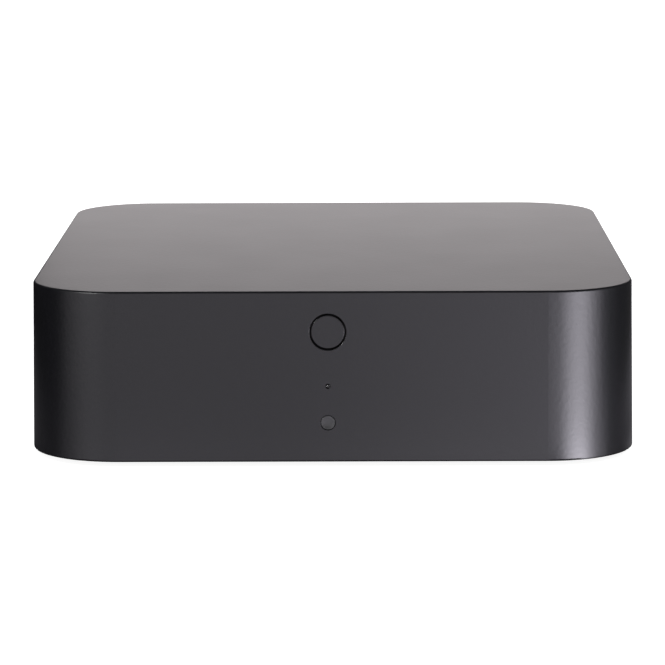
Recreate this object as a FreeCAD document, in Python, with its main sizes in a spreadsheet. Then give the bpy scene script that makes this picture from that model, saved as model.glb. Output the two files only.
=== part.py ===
import FreeCAD, Part
import math
import os
import re

import Sketcher

# A network audio adapter: a low moulded box that stands on a shelf, with its sockets at the rear.
# X runs to the right, Y to the rear and Z up. The pieces are drawn about the shell's own centre,
# with the shell's lower rim at zero, and each is then placed so that the feet stand on the ground
# and the origin lies under the middle of the whole length, phono sockets included.

Vector = FreeCAD.Vector
Rotation = FreeCAD.Rotation
Constraint = Sketcher.Constraint

# Driving dimensions in millimetres
SIZES = {
    # Shell
    "case_width": 143.0,
    "case_depth": 168.0,
    "case_height": 40.4,
    "corner_radius": 21.0,
    "wall_lean": 0.53,
    "side_wall": 2.2,
    "top_wall": 2.4,
    "edge_round": 0.5,
    "top_rib_width": 1.2,
    "top_rib_height": 2.0,
    "top_rib_length": 110.0,
    "top_rib_spacing": 20.0,
    "top_rib_count": 5,
    # Corner bosses that the case screws run into
    "boss_width": 8.0,
    "boss_reach": 13.5,
    "boss_seat": 3.6,
    "boss_rib_width": 1.6,
    "boss_rib_height": 22.0,
    "pilot_depth": 12.0,
    # Screws
    "screw_shank": 2.8,
    "screw_gap": 0.05,
    "screw_head": 5.4,
    "screw_head_height": 1.7,
    "recess_length": 2.8,
    "recess_width": 0.6,
    "recess_depth": 1.0,
    "screw_hole": 3.3,
    "case_screw_length": 11.0,
    "board_screw_length": 5.5,
    "panel_screw_length": 8.0,
    "front_screw_length": 5.5,
    # Base plate
    "base_thickness": 2.0,
    "base_gap": 0.15,
    "cup_width": 9.0,
    "counterbore_depth": 1.9,
    "vent_length": 20.0,
    "vent_width": 2.2,
    "vent_spacing": 5.5,
    "vent_count": 9,
    "vent_first_x": -2.0,
    "vent_front_y": -22.0,
    "vent_rear_y": 22.0,
    # Feet
    "foot_width": 16.0,
    "foot_height": 1.2,
    "foot_chamfer": 0.3,
    "foot_inset_x": 25.0,
    "foot_inset_y": 26.0,
    # Circuit boards
    "board_thickness": 1.6,
    "board_rise": 4.4,
    "board_rear_gap": 0.7,
    "standoff_width": 6.5,
    "standoff_pilot_depth": 5.0,
    "main_left": -25.0,
    "main_side_gap": 7.3,
    "main_front": -50.0,
    "main_hole_inset": 5.0,
    "main_hole_rear_y": 52.0,
    "power_left": -60.0,
    "power_right": -27.4,
    "power_front": 0.0,
    "power_hole_inset": 4.1,
    "power_hole_front_y": 6.0,
    "power_hole_rear_y": 58.0,
    "corner_notch": 5.5,
    # Rear panel and the window that it fills
    "window_width": 97.0,
    "window_head": 7.4,
    "panel_gap": 0.2,
    "panel_thickness": 1.6,
    "flange_width": 1.6,
    "flange_thickness": 2.0,
    "flange_rebate": 0.5,
    "flange_foot_gap": 0.1,
    "panel_screw_x": 30.0,
    "panel_screw_drop": 4.5,
    "panel_boss_width": 8.0,
    "panel_boss_depth": 9.0,
    "socket_gap": 0.25,
    # Front details, just left of the middle
    "detail_x": -1.0,
    # Ring inlay on the front
    "badge_width": 8.8,
    "badge_line": 0.6,
    "badge_groove": 0.5,
    "badge_thickness": 0.3,
    "badge_drop": 9.55,
    # Pinhole light
    "light_width": 1.1,
    "light_gap": 0.05,
    "light_z": 18.0,
    "light_collar": 3.2,
    "light_collar_thickness": 0.8,
    "light_stem": 2.2,
    "led_width": 3.0,
    "led_depth": 1.0,
    "led_height": 1.6,
    "led_gap": 0.1,
    # Push buttons and the switches behind them
    "button_z": 9.35,
    "button_width": 2.94,
    "button_hole": 3.6,
    "button_recess": 0.1,
    "service_width": 3.8,
    "service_hole": 4.4,
    "service_proud": 0.3,
    "button_travel_gap": 0.3,
    "button_flange": 5.4,
    "button_flange_thickness": 0.8,
    "button_stem": 2.4,
    "button_stem_length": 1.3,
    "button_edge": 0.15,
    "switch_side": 6.0,
    "switch_depth": 3.3,
    "plunger_width": 3.0,
    "plunger_gap": 0.15,
    "plunger_reach": 1.2,
    "plunger_sunk": 1.0,
    "switch_pocket": 1.6,
    # Front board
    "front_board_width": 40.0,
    "front_board_height": 26.0,
    "front_board_bottom": 5.0,
    "front_boss_width": 6.0,
    "front_screw_x": 14.0,
    "front_screw_z": 26.0,
    # Flat cable between the front board and the main board
    "ribbon_x": 10.0,
    "ribbon_width": 12.0,
    "ribbon_thickness": 0.3,
    "ribbon_socket_width": 14.0,
    "ribbon_socket_depth": 3.0,
    "ribbon_socket_height": 2.4,
    "ribbon_front_rise": 2.6,
    "ribbon_rear_rise": 1.2,
    # Insulating sheet between the mains side and the audio side
    "sheet_thickness": 0.4,
    "sheet_overhang": 1.5,
    "sheet_right": -26.2,
    "sheet_front": -2.0,
    "sheet_rear": 77.5,
    "sheet_height": 22.0,
    "sheet_hole": 7.5,
    # Mains inlet for a figure-of-eight plug
    "inlet_x": -37.3,
    "inlet_width": 19.0,
    "inlet_height": 12.4,
    "inlet_depth": 18.0,
    "inlet_proud": 0.4,
    "inlet_round": 2.0,
    "inlet_slot_width": 15.8,
    "inlet_slot_height": 8.6,
    "inlet_slot_depth": 12.0,
    "pin_width": 2.4,
    "pin_spacing": 8.6,
    "pin_length": 9.5,
    "pin_root": 3.0,
    # Network socket
    "ethernet_x": -16.5,
    "ethernet_width": 16.0,
    "ethernet_height": 13.5,
    "ethernet_depth": 21.0,
    "shield_sheet": 0.3,
    "metal_proud": 0.8,
    "insert_gap": 0.05,
    "plug_width": 11.9,
    "plug_top": 12.0,
    "plug_shoulder": 5.2,
    "latch_width": 6.2,
    "latch_step": 3.3,
    "key_width": 3.4,
    "key_floor": 2.0,
    "plug_depth": 14.0,
    "contact_width": 0.4,
    "contact_spacing": 1.02,
    "contact_count": 8,
    "contact_drop": 1.9,
    "contact_front": 3.0,
    "contact_rear": 11.0,
    # Service socket
    "usb_x": -0.5,
    "usb_width": 13.2,
    "usb_height": 5.8,
    "usb_depth": 14.0,
    "usb_sheet": 0.35,
    "tongue_width": 11.1,
    "tongue_thickness": 1.9,
    "tongue_lift": 0.9,
    "tongue_length": 8.2,
    "tongue_root_depth": 4.4,
    # Rear push button
    "service_x": 10.5,
    # Optical output with its dust flap
    "optical_x": 19.0,
    "optical_width": 9.8,
    "optical_height": 10.0,
    "optical_depth": 14.8,
    "optical_recess": 0.1,
    "cave_width": 7.6,
    "cave_floor": 1.4,
    "cave_top": 9.1,
    "cave_depth": 10.8,
    "flap_gap": 0.3,
    "flap_thickness": 1.0,
    "flap_pin": 1.2,
    "flap_pin_gap": 0.05,
    "flap_pin_overlap": 0.6,
    "flap_pin_setback": 3.0,
    "emitter_width": 2.4,
    "emitter_length": 1.0,
    # Phono sockets
    "coax_x": 30.0,
    "line_x": 42.0,
    "phono_rise": 5.0,
    "phono_share": 0.65,
    "phono_block_width": 11.0,
    "phono_block_depth": 13.0,
    "phono_block_margin": 5.4,
    "phono_panel_gap": 0.1,
    "barrel_width": 8.3,
    "barrel_bore": 6.9,
    "barrel_proud": 8.6,
    "barrel_floor": 1.0,
    "barrel_neck": 7.8,
    "barrel_shoulder": 0.3,
    "barrel_chamfer": 0.3,
    "barrel_hole_gap": 0.35,
    "insulator_gap": 0.05,
    "insulator_recess": 0.8,
    "insulator_bore": 3.4,
    "insulator_floor": 1.0,
    # Heat sink on the processor
    "sink_width": 24.0,
    "sink_base": 2.0,
    "sink_fin_height": 6.0,
    "sink_fin_width": 1.0,
    "sink_fin_count": 7,
    # Wireless module and its antennas
    "module_x": -4.0,
    "module_y": -28.0,
    "module_width": 22.0,
    "module_thickness": 0.8,
    "can_width": 18.0,
    "can_depth": 15.0,
    "can_height": 2.2,
    "can_sheet": 0.25,
    "can_shift_y": 3.0,
    "antenna_thickness": 1.0,
    "antenna_length": 28.0,
    "antenna_height": 9.0,
    "antenna_y": -38.0,
    "antenna_z": 22.0,
    "lead_width": 1.2,
    "lead_end_y": -46.0,
    # Supply
    "core_leg": 4.0,
    "core_width": 21.0,
    "core_depth": 8.0,
    "core_height": 19.0,
    "core_yoke": 3.0,
    "core_middle": 5.0,
    "winding_depth": 18.0,
    "winding_gap": 0.2,
    "bobbin_foot": 2.8,
    "transformer_x": -41.0,
    "transformer_y": 19.5,
    "bulk_width": 16.0,
    "bulk_headroom": 2.6,
    "bulk_x": -41.0,
    "bulk_y": 41.0,
    "bulk_groove": 0.6,
    "choke_x": -42.5,
    "choke_y": 56.0,
    "choke_width": 15.0,
    "choke_bore": 6.6,
    "choke_thickness": 7.0,
    "choke_foot": 1.5,
    "fuse_x": -54.0,
    "fuse_y": 40.5,
    "fuse_width": 5.2,
    "fuse_length": 20.0,
    "fuse_rise": 4.0,
    "clip_width": 6.4,
    "clip_depth": 3.6,
    "clip_height": 6.4,
    "clip_gap": 0.05,
    "wire_width": 1.4,
    "wire_spacing": 2.2,
    "wire_rise": 3.5,
    "wire_end_y": -24.0,
    "signal_cap_width": 6.3,
    "signal_cap_height": 8.0,
    "signal_cap_spacing": 8.5,
    "signal_cap_inset": 32.0,
    "signal_cap_y": 46.0,
}

# Plain blocks that stand on a board: centre x, centre y, width, depth and height
BLOCKS = {
    "processor_chip": (28.0, -5.0, 17.0, 17.0, 1.4),
    "memory_front": (20.0, -30.0, 9.0, 13.0, 1.2),
    "memory_rear": (36.0, -30.0, 9.0, 13.0, 1.2),
    "converter_chip": (36.0, 34.0, 9.0, 9.0, 1.0),
    "crystal_left": (31.0, 22.0, 5.0, 3.2, 1.1),
    "crystal_right": (41.0, 22.0, 5.0, 3.2, 1.1),
    "relay_left": (2.0, 50.0, 10.0, 15.0, 9.0),
    "relay_right": (14.0, 50.0, 10.0, 15.0, 9.0),
    "transistor": (-55.65, 21.0, 4.5, 10.0, 15.5),
    "transistor_plate": (-58.65, 21.0, 1.5, 22.0, 20.0),
    "power_plug": (-43.7, 3.0, 12.0, 5.0, 7.0),
    "main_plug": (-21.5, -20.7, 5.0, 12.0, 7.0),
}
for block_name, block_values in BLOCKS.items():
    for suffix, block_value in zip(("x", "y", "width", "depth", "height"), block_values):
        SIZES[f"{block_name}_{suffix}"] = block_value

# Places worked out from the driving dimensions
PLACES = {
    "half_width": "case_width / 2",
    "half_depth": "case_depth / 2",
    "inner_half_width": "half_width - side_wall",
    "inner_half_depth": "half_depth - side_wall",
    "inner_radius": "corner_radius - side_wall",
    "ceiling": "case_height - top_wall",
    "boss_offset": "boss_reach / sqrt(2)",
    "boss_x": "half_width - corner_radius + boss_offset",
    "boss_y": "half_depth - corner_radius + boss_offset",
    "boss_rib_reach": "sqrt(inner_radius ^ 2 - boss_offset ^ 2) - boss_offset + side_wall / 2",
    "pilot_width": "screw_shank + 2 * screw_gap",
    "foot_x": "half_width - foot_inset_x",
    "foot_y": "half_depth - foot_inset_y",
    "board_bottom": "base_thickness + board_rise",
    "board_top": "board_bottom + board_thickness",
    "badge_z": "case_height - badge_drop",
    "badge_floor_y": "-half_depth - wall_lean * (1 - badge_z / case_height) + badge_groove",
    "light_face_y": "-half_depth - wall_lean * (1 - light_z / case_height)",
    "light_wall": "-inner_half_depth - light_face_y",
    "button_wall": "side_wall + wall_lean * (1 - button_z / case_height)",
    "window_height": "case_height - window_head",
    "flange_low": "base_thickness + flange_foot_gap",
    "flange_rear": "inner_half_depth + flange_rebate",
    "panel_front": "flange_rear - flange_thickness",
    "panel_face": "inner_half_depth + panel_thickness",
    "panel_width": "window_width - 2 * panel_gap",
    "panel_height": "window_height - panel_gap",
    "panel_screw_z": "window_height - panel_screw_drop",
    "board_rear": "panel_front - board_rear_gap",
    "main_right": "inner_half_width - main_side_gap",
    "notch_x": "boss_x - corner_notch",
    "notch_y": "boss_y - corner_notch",
    "main_hole_front_y": "main_front + main_hole_inset",
    "main_hole_left": "main_left + main_hole_inset",
    "main_hole_right": "main_right - main_hole_inset",
    "power_hole_left": "power_left + power_hole_inset",
    "power_hole_right": "power_right - power_hole_inset",
    "switch_stack": "button_travel_gap + button_flange_thickness + button_stem_length",
    "front_tip_y": "-inner_half_depth + switch_stack",
    "front_switch_y": "front_tip_y + plunger_reach + switch_depth",
    "front_board_rear_y": "front_switch_y + board_thickness",
    "service_tip_y": "panel_front - switch_stack",
    "service_switch_y": "service_tip_y - plunger_reach - switch_depth",
    "service_z": "board_top + switch_side / 2",
    "sheet_left": "power_left - sheet_overhang",
    "bulk_height": "ceiling - top_rib_height - board_top - bulk_headroom",
    "signal_cap_x": "main_right - signal_cap_inset",
    "ribbon_front_z": "board_top + ribbon_front_rise",
    "ribbon_rear_z": "board_top + ribbon_rear_rise",
    "ribbon_front_y": "front_board_rear_y + ribbon_socket_depth",
    "inlet_face": "panel_face + inlet_proud",
    "inlet_z": "board_top + inlet_height / 2",
    "metal_face": "panel_face + metal_proud",
    "optical_face": "panel_face - optical_recess",
    "flap_pin_z": "cave_top - flap_gap - flap_thickness / 2",
    "phono_face": "panel_front - phono_panel_gap",
    "barrel_start": "panel_face + barrel_shoulder",
    "barrel_end": "panel_face + barrel_proud",
    "barrel_length": "barrel_end - phono_face",
    "phono_low_z": "board_top + phono_rise",
    "phono_high_z": "phono_low_z + phono_share * (window_height - phono_low_z)",
    "plan_shift": "(half_depth + wall_lean - barrel_end) / 2",
}

doc = FreeCAD.newDocument("network_audio_adapter")
nodes = []

ALONG_Y = Rotation(Vector(1, 0, 0), -90)
ALONG_Z = Rotation()
HALF_TURN = Rotation(Vector(0, 0, 1), 180)


def bound(formula):
    """Each name in a formula is looked up in the sheet that holds it."""

    def with_sheet(match):
        word = match.group()
        if word in SIZES:
            return f"sizes.{word}"
        if word in PLACES:
            return f"places.{word}"
        return word

    return re.sub(r"[a-z][a-z_]*", with_sheet, str(formula))


def fill_sheet(name, rows):
    """A sheet of names and values, each value cell with its name as alias."""
    sheet = doc.addObject("Spreadsheet::Sheet", name)
    for row, (alias, content) in enumerate(rows, start=1):
        sheet.set(f"A{row}", alias)
        sheet.set(f"B{row}", content)
        sheet.setAlias(f"B{row}", alias)
    doc.recompute()
    return sheet


sizes = fill_sheet("sizes", [(name, str(value)) for name, value in SIZES.items()])
places = fill_sheet("places", [(name, f"={bound(formula)}") for name, formula in PLACES.items()])


def number(formula):
    """The value that a formula has with the present sizes."""
    return float(places.evalExpression(bound(formula)))


def bind(item, **formulas):
    for name, formula in formulas.items():
        item.setExpression(name, bound(formula))


def bind_base(item, x, y, z):
    for axis, formula in zip("xyz", (x, y, z)):
        item.setExpression(f"Placement.Base.{axis}", bound(formula))


def seat(item, label, x="0", y="0", z="0", turn=ALONG_Z):
    """A finished piece gets its name and its place in the whole product."""
    item.Label = label
    item.Placement = FreeCAD.Placement(Vector(), turn)
    bind_base(item, x, f"{y} + plan_shift", f"{z} + foot_height")
    nodes.append(item)


# Sketches and features of a body


def new_body(name):
    return doc.addObject("PartDesign::Body", f"{name}_body")


def origin_item(body, role):
    return next(item for item in body.Origin.OriginFeatures if item.Role == role)


def sketch_on(body, plane, offset):
    sketch = body.newObject("Sketcher::SketchObject", "profile")
    sketch.AttachmentSupport = [(origin_item(body, plane), "")]
    sketch.MapMode = "FlatFace"
    bind(sketch, **{"AttachmentOffset.Base.z": offset})
    return sketch


def plan_sketch(body, z="0"):
    """A sketch seen from above, at height z. Pads rise from it."""
    return sketch_on(body, "XY_Plane", z)


def face_sketch(body, y="0"):
    """A sketch seen from the front, at depth y. Pads come forward from it."""
    return sketch_on(body, "XZ_Plane", f"-({y})")


def side_sketch(body, x="0"):
    """A sketch seen from the right, at place x. Pads run to the right."""
    return sketch_on(body, "YZ_Plane", x)


def hold_point(sketch, geometry, position, x, y):
    """A point of the sketch keeps its distances from the sketch's origin."""
    for kind, formula in (("DistanceX", x), ("DistanceY", y)):
        constraint = Constraint(kind, -1, 1, geometry, position, number(formula))
        index = sketch.addConstraint(constraint)
        sketch.setExpression(f"Constraints[{index}]", bound(formula))


def hold_size(sketch, kind, geometry, formula):
    index = sketch.addConstraint(Constraint(kind, geometry, number(formula)))
    sketch.setExpression(f"Constraints[{index}]", bound(formula))


def polygon(sketch, points):
    corners = [Vector(number(x), number(y), 0) for x, y in points]
    following = corners[1:] + corners[:1]
    lines = sketch.addGeometry([Part.LineSegment(*ends) for ends in zip(corners, following)], False)
    for line, after, (x, y) in zip(lines, lines[1:] + lines[:1], points):
        sketch.addConstraint(Constraint("Coincident", line, 2, after, 1))
        hold_point(sketch, line, 1, x, y)


def rectangle(sketch, width, height, x="0", y="0"):
    left, right = f"{x} - ({width}) / 2", f"{x} + ({width}) / 2"
    low, high = f"{y} - ({height}) / 2", f"{y} + ({height}) / 2"
    polygon(sketch, [(left, low), (right, low), (right, high), (left, high)])


def circle(sketch, width, x="0", y="0"):
    round_line = Part.Circle(Vector(number(x), number(y), 0), Vector(0, 0, 1), number(width) / 2)
    geometry = sketch.addGeometry(round_line, False)
    hold_size(sketch, "Diameter", geometry, width)
    hold_point(sketch, geometry, 3, x, y)


def arc(x, y, radius, start, end):
    whole = Part.Circle(Vector(x, y, 0), Vector(0, 0, 1), radius)
    return Part.ArcOfCircle(whole, math.radians(start), math.radians(end))


def rounded_rectangle(sketch, width, height, radius, x="0", y="0"):
    round_size = number(radius)
    left, right = number(f"{x} - ({width}) / 2"), number(f"{x} + ({width}) / 2")
    low, high = number(f"{y} - ({height}) / 2"), number(f"{y} + ({height}) / 2")
    near_left, near_right = left + round_size, right - round_size
    near_low, near_high = low + round_size, high - round_size
    lines = [
        Part.LineSegment(Vector(near_left, low, 0), Vector(near_right, low, 0)),
        Part.LineSegment(Vector(right, near_low, 0), Vector(right, near_high, 0)),
        Part.LineSegment(Vector(near_right, high, 0), Vector(near_left, high, 0)),
        Part.LineSegment(Vector(left, near_high, 0), Vector(left, near_low, 0)),
    ]
    arcs = [
        arc(near_right, near_low, round_size, 270, 360),
        arc(near_right, near_high, round_size, 0, 90),
        arc(near_left, near_high, round_size, 90, 180),
        arc(near_left, near_low, round_size, 180, 270),
    ]
    line_ids = sketch.addGeometry(lines, False)
    arc_ids = sketch.addGeometry(arcs, False)
    for index in range(4):
        direction = "Horizontal" if index % 2 == 0 else "Vertical"
        sketch.addConstraint(Constraint(direction, line_ids[index]))
        sketch.addConstraint(Constraint("Tangent", line_ids[index], 2, arc_ids[index], 1))
        sketch.addConstraint(Constraint("Tangent", arc_ids[index], 2, line_ids[(index + 1) % 4], 1))
    for index in range(3):
        sketch.addConstraint(Constraint("Equal", arc_ids[index], arc_ids[index + 1]))
    hold_size(sketch, "Radius", arc_ids[0], radius)
    across, along = f"(({width}) / 2 - ({radius}))", f"(({height}) / 2 - ({radius}))"
    hold_point(sketch, arc_ids[3], 3, f"{x} - {across}", f"{y} - {along}")
    hold_point(sketch, arc_ids[1], 3, f"{x} + {across}", f"{y} + {along}")


def slot(sketch, length, width, x="0", y="0", upright=False):
    """A slot with round ends, along the sketch's first axis or, upright, along its second."""
    half = f"(({length}) - ({width})) / 2"
    if upright:
        first, last, turn = (x, f"{y} - {half}"), (x, f"{y} + {half}"), 90
    else:
        first, last, turn = (f"{x} - {half}", y), (f"{x} + {half}", y), 0
    radius = number(width) / 2
    ends = [Vector(number(across), number(along), 0) for across, along in (first, last)]
    side = Rotation(Vector(0, 0, 1), turn).multVec(Vector(0, radius, 0))
    arcs = [
        arc(ends[0].x, ends[0].y, radius, 90 + turn, 270 + turn),
        arc(ends[1].x, ends[1].y, radius, 270 + turn, 450 + turn),
    ]
    lines = [
        Part.LineSegment(ends[0] - side, ends[1] - side),
        Part.LineSegment(ends[1] + side, ends[0] + side),
    ]
    arc_ids = sketch.addGeometry(arcs, False)
    line_ids = sketch.addGeometry(lines, False)
    for index in range(2):
        sketch.addConstraint(Constraint("Tangent", arc_ids[index], 2, line_ids[index], 1))
        sketch.addConstraint(Constraint("Tangent", line_ids[index], 2, arc_ids[1 - index], 1))
    sketch.addConstraint(Constraint("Equal", arc_ids[0], arc_ids[1]))
    hold_size(sketch, "Radius", arc_ids[0], f"({width}) / 2")
    hold_point(sketch, arc_ids[0], 3, *first)
    hold_point(sketch, arc_ids[1], 3, *last)


def pad(body, sketch, length, reverse=False):
    feature = body.newObject("PartDesign::Pad", "pad")
    feature.Profile = sketch
    feature.Reversed = reverse
    bind(feature, Length=length)
    doc.recompute()
    return feature


def pocket(body, sketch, length, reverse=False):
    """A pocket from a plan sketch goes down and one from a face sketch goes to the rear."""
    before = body.Shape.Volume
    feature = body.newObject("PartDesign::Pocket", "pocket")
    feature.Profile = sketch
    feature.Reversed = reverse
    bind(feature, Length=length)
    doc.recompute()
    if not body.Shape.Volume < before:
        raise ValueError(f"a pocket in {body.Name} takes nothing away")
    return feature


def revolve(body, sketch):
    feature = body.newObject("PartDesign::Revolution", "revolution")
    feature.Profile = sketch
    feature.ReferenceAxis = (sketch, ["V_Axis"])
    feature.Angle = 360
    doc.recompute()
    return feature


def repeat(body, role, length, count, originals=None):
    """The given features, or the whole body, repeated along one of the body's axes."""
    feature = body.newObject("PartDesign::LinearPattern", "pattern")
    if originals:
        feature.Originals = originals
    else:
        feature.TransformMode = "Whole shape"
    feature.Direction = (origin_item(body, role), [""])
    bind(feature, Length=length, Occurrences=count)
    body.Tip = feature
    doc.recompute()
    return feature


def mirror(body, plane):
    """The whole body and its mirror image."""
    feature = body.newObject("PartDesign::Mirrored", "mirror")
    feature.TransformMode = "Whole shape"
    feature.MirrorPlane = (origin_item(body, plane), [""])
    body.Tip = feature
    doc.recompute()
    return feature


def dress(body, kind, radius, wanted):
    """A fillet or chamfer on the edges whose every corner and middle is wanted."""
    feature = body.newObject(f"PartDesign::{kind}", kind.lower())
    base = feature.BaseFeature or body.Tip
    names = []
    for index, edge in enumerate(base.Shape.Edges, start=1):
        points = [vertex.Point for vertex in edge.Vertexes] + [edge.CenterOfMass]
        if all(wanted(point) for point in points):
            names.append(f"Edge{index}")
    feature.Base = (base, names)
    bind(feature, **{"Radius" if kind == "Fillet" else "Size": radius})
    doc.recompute()
    return feature


def near(value, formula):
    return abs(value - number(formula)) < 1e-4


# Primitives


def box(width, depth, height, x="0", y="0", z="0"):
    """A block centred on x and y that stands on height z."""
    block = doc.addObject("Part::Box", "block")
    bind(block, Length=width, Width=depth, Height=height)
    bind_base(block, f"{x} - ({width}) / 2", f"{y} - ({depth}) / 2", z)
    return block


def rod(width, length, x="0", y="0", z="0", turn=ALONG_Z):
    cylinder = doc.addObject("Part::Cylinder", "rod")
    cylinder.Placement = FreeCAD.Placement(Vector(), turn)
    bind(cylinder, Radius=f"({width}) / 2", Height=length)
    bind_base(cylinder, x, y, z)
    return cylinder


def fuse(*pieces):
    whole = doc.addObject("Part::MultiFuse", "fusion")
    whole.Shapes = list(pieces)
    return whole


def cut(base, *tools):
    for tool in tools:
        remainder = doc.addObject("Part::Cut", "cut")
        remainder.Base = base
        remainder.Tool = tool
        base = remainder
    return base


def group(*pieces):
    """Separate solids that share one node."""
    together = doc.addObject("Part::Compound", "group")
    together.Links = list(pieces)
    return together


def block_named(name):
    return box(f"{name}_width", f"{name}_depth", f"{name}_height", f"{name}_x", f"{name}_y")


def routed_path(points):
    """Straight runs joined by tangent arcs, each as large as its two runs allow."""
    edges = []
    start = points[0]
    for before, corner, after in zip(points, points[1:], points[2:]):
        arriving = (corner - before).normalize()
        leaving = (after - corner).normalize()
        half_turn = arriving.getAngle(leaving) / 2
        reach = 0.45 * min((corner - before).Length, (after - corner).Length)
        radius = reach / math.tan(half_turn)
        enter = corner - arriving * reach
        leave = corner + leaving * reach
        inward = (leaving - arriving).normalize()
        middle = corner + inward * radius * (1 / math.cos(half_turn) - 1)
        edges.append(Part.LineSegment(start, enter).toShape())
        edges.append(Part.Arc(enter, middle, leave).toShape())
        print(f"bend radius {radius:.1f} mm")
        start = leave
    edges.append(Part.LineSegment(start, points[-1]).toShape())
    return Part.Wire(edges)


def round_wire(points, width):
    """A round tube along a route. Its volume is its section times its length."""
    path = routed_path(points)
    section = Part.Wire([Part.Circle(points[0], points[1] - points[0], width / 2).toShape()])
    tube = path.makePipeShell([section], True, True)
    expected = math.pi * (width / 2) ** 2 * path.Length
    if abs(tube.Volume - expected) > 0.01 * expected:
        raise ValueError("a wire is not as full as its length says")
    return tube


def wires(label, shapes, z):
    """Wires have no fixed section to pad, so their solids come from the route itself."""
    feature = doc.addObject("Part::Feature", f"{label}_wires")
    feature.Shape = Part.makeCompound(shapes)
    seat(feature, label, z=z)


def screws(label, length, corners, x="0", y="0", z="0", turn=ALONG_Z):
    """A group of alike screws with a cross recess. Each stands head down, with its shank upward."""
    copies = []
    for across, along in corners:
        head = rod("screw_head", "screw_head_height", across, along)
        shank = rod("screw_shank", length, across, along, "screw_head_height")
        recess = [box("recess_length", "recess_width", "recess_depth", across, along),
                  box("recess_width", "recess_length", "recess_depth", across, along)]
        copies.append(cut(fuse(head, shank), *recess))
    seat(group(*copies), label, x, y, z, turn)


# Case


def four_corners(x, y):
    return [(x, y), (f"-({x})", y), (f"-({x})", f"-({y})"), (x, f"-({y})")]


def add_corner_bosses(shell):
    """Each boss hangs from the ceiling and is tied to both walls of its corner by ribs."""
    bosses = plan_sketch(shell, "boss_seat")
    for x, y in four_corners("boss_x", "boss_y"):
        circle(bosses, "boss_width", x, y)
    pad(shell, bosses, "ceiling - boss_seat")
    for along_x in (True, False):
        ribs = plan_sketch(shell, "ceiling - boss_rib_height")
        for side_x in (1, -1):
            for side_y in (1, -1):
                x, y = f"{side_x} * boss_x", f"{side_y} * boss_y"
                if along_x:
                    rectangle(ribs, "boss_rib_reach", "boss_rib_width",
                              f"{side_x} * (boss_x + boss_rib_reach / 2)", y)
                else:
                    rectangle(ribs, "boss_rib_width", "boss_rib_reach",
                              x, f"{side_y} * (boss_y + boss_rib_reach / 2)")
        pad(shell, ribs, "boss_rib_height")
    pilots = plan_sketch(shell, "boss_seat")
    for x, y in four_corners("boss_x", "boss_y"):
        circle(pilots, "pilot_width", x, y)
    pocket(shell, pilots, "pilot_depth", reverse=True)


def add_panel_bosses(shell):
    """Two blocks hang from the ceiling behind the window, for the rear panel's screws."""
    blocks = plan_sketch(shell, "panel_screw_z - panel_boss_width / 2")
    for side in ("-panel_screw_x", "panel_screw_x"):
        rectangle(blocks, "panel_boss_width", "panel_boss_depth",
                  side, "panel_front - panel_boss_depth / 2")
    pad(shell, blocks, "ceiling - panel_screw_z + panel_boss_width / 2")
    pilots = face_sketch(shell, "panel_front")
    for side in ("-panel_screw_x", "panel_screw_x"):
        circle(pilots, "pilot_width", side, "panel_screw_z")
    pocket(shell, pilots, "panel_boss_depth - side_wall", reverse=True)


def add_front_bosses(shell):
    bosses = face_sketch(shell, "-inner_half_depth")
    for side in ("-front_screw_x", "front_screw_x"):
        circle(bosses, "front_boss_width", side, "front_screw_z")
    pad(shell, bosses, "front_switch_y + inner_half_depth", reverse=True)
    pilots = face_sketch(shell, "front_switch_y")
    for side in ("-front_screw_x", "front_screw_x"):
        circle(pilots, "pilot_width", side, "front_screw_z")
    pocket(shell, pilots, "front_screw_length", reverse=True)


def make_upper_shell():
    """The walls lean outward toward the rim, so that the mould lets go of them."""
    shell = new_body("upper_shell")
    outline = plan_sketch(shell, "case_height")
    rounded_rectangle(outline, "case_width", "case_depth", "corner_radius")
    walls = pad(shell, outline, "case_height", reverse=True)
    bind(walls, TaperAngle="atan(wall_lean / case_height)")
    doc.recompute()
    dress(shell, "Fillet", "edge_round", lambda point: near(point.z, "case_height"))
    dress(shell, "Fillet", "edge_round", lambda point: near(point.z, "0"))
    cavity = plan_sketch(shell)
    rounded_rectangle(cavity, "2 * inner_half_width", "2 * inner_half_depth", "inner_radius")
    pocket(shell, cavity, "ceiling", reverse=True)
    window = face_sketch(shell, "inner_half_depth - panel_gap")
    rectangle(window, "window_width", "2 * window_height")
    pocket(shell, window, "side_wall + wall_lean + 2 * panel_gap")
    rebate = face_sketch(shell, "panel_front - panel_gap")
    rebate_height = "(window_height + flange_width - flange_low + 2 * panel_gap)"
    rectangle(rebate, "window_width + 2 * (flange_width + panel_gap)", rebate_height,
              "0", f"flange_low - panel_gap + {rebate_height} / 2")
    pocket(shell, rebate, "flange_thickness + panel_gap")
    rib = plan_sketch(shell, "ceiling - top_rib_height")
    rectangle(rib, "top_rib_width", "top_rib_length", "-top_rib_spacing * (top_rib_count - 1) / 2")
    first = pad(shell, rib, "top_rib_height")
    repeat(shell, "X_Axis", "top_rib_spacing * (top_rib_count - 1)", "top_rib_count", [first])
    add_corner_bosses(shell)
    add_panel_bosses(shell)
    add_front_bosses(shell)
    holes = face_sketch(shell, "-half_depth - wall_lean")
    circle(holes, "light_width + 2 * light_gap", "detail_x", "light_z")
    circle(holes, "button_hole", "detail_x", "button_z")
    pocket(shell, holes, "side_wall + wall_lean")
    groove = face_sketch(shell, "-half_depth - wall_lean")
    circle(groove, "badge_width", "detail_x", "badge_z")
    circle(groove, "badge_width - 2 * badge_line", "detail_x", "badge_z")
    pocket(shell, groove, "badge_floor_y + half_depth + wall_lean")
    seat(shell, "upper_shell")


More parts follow.
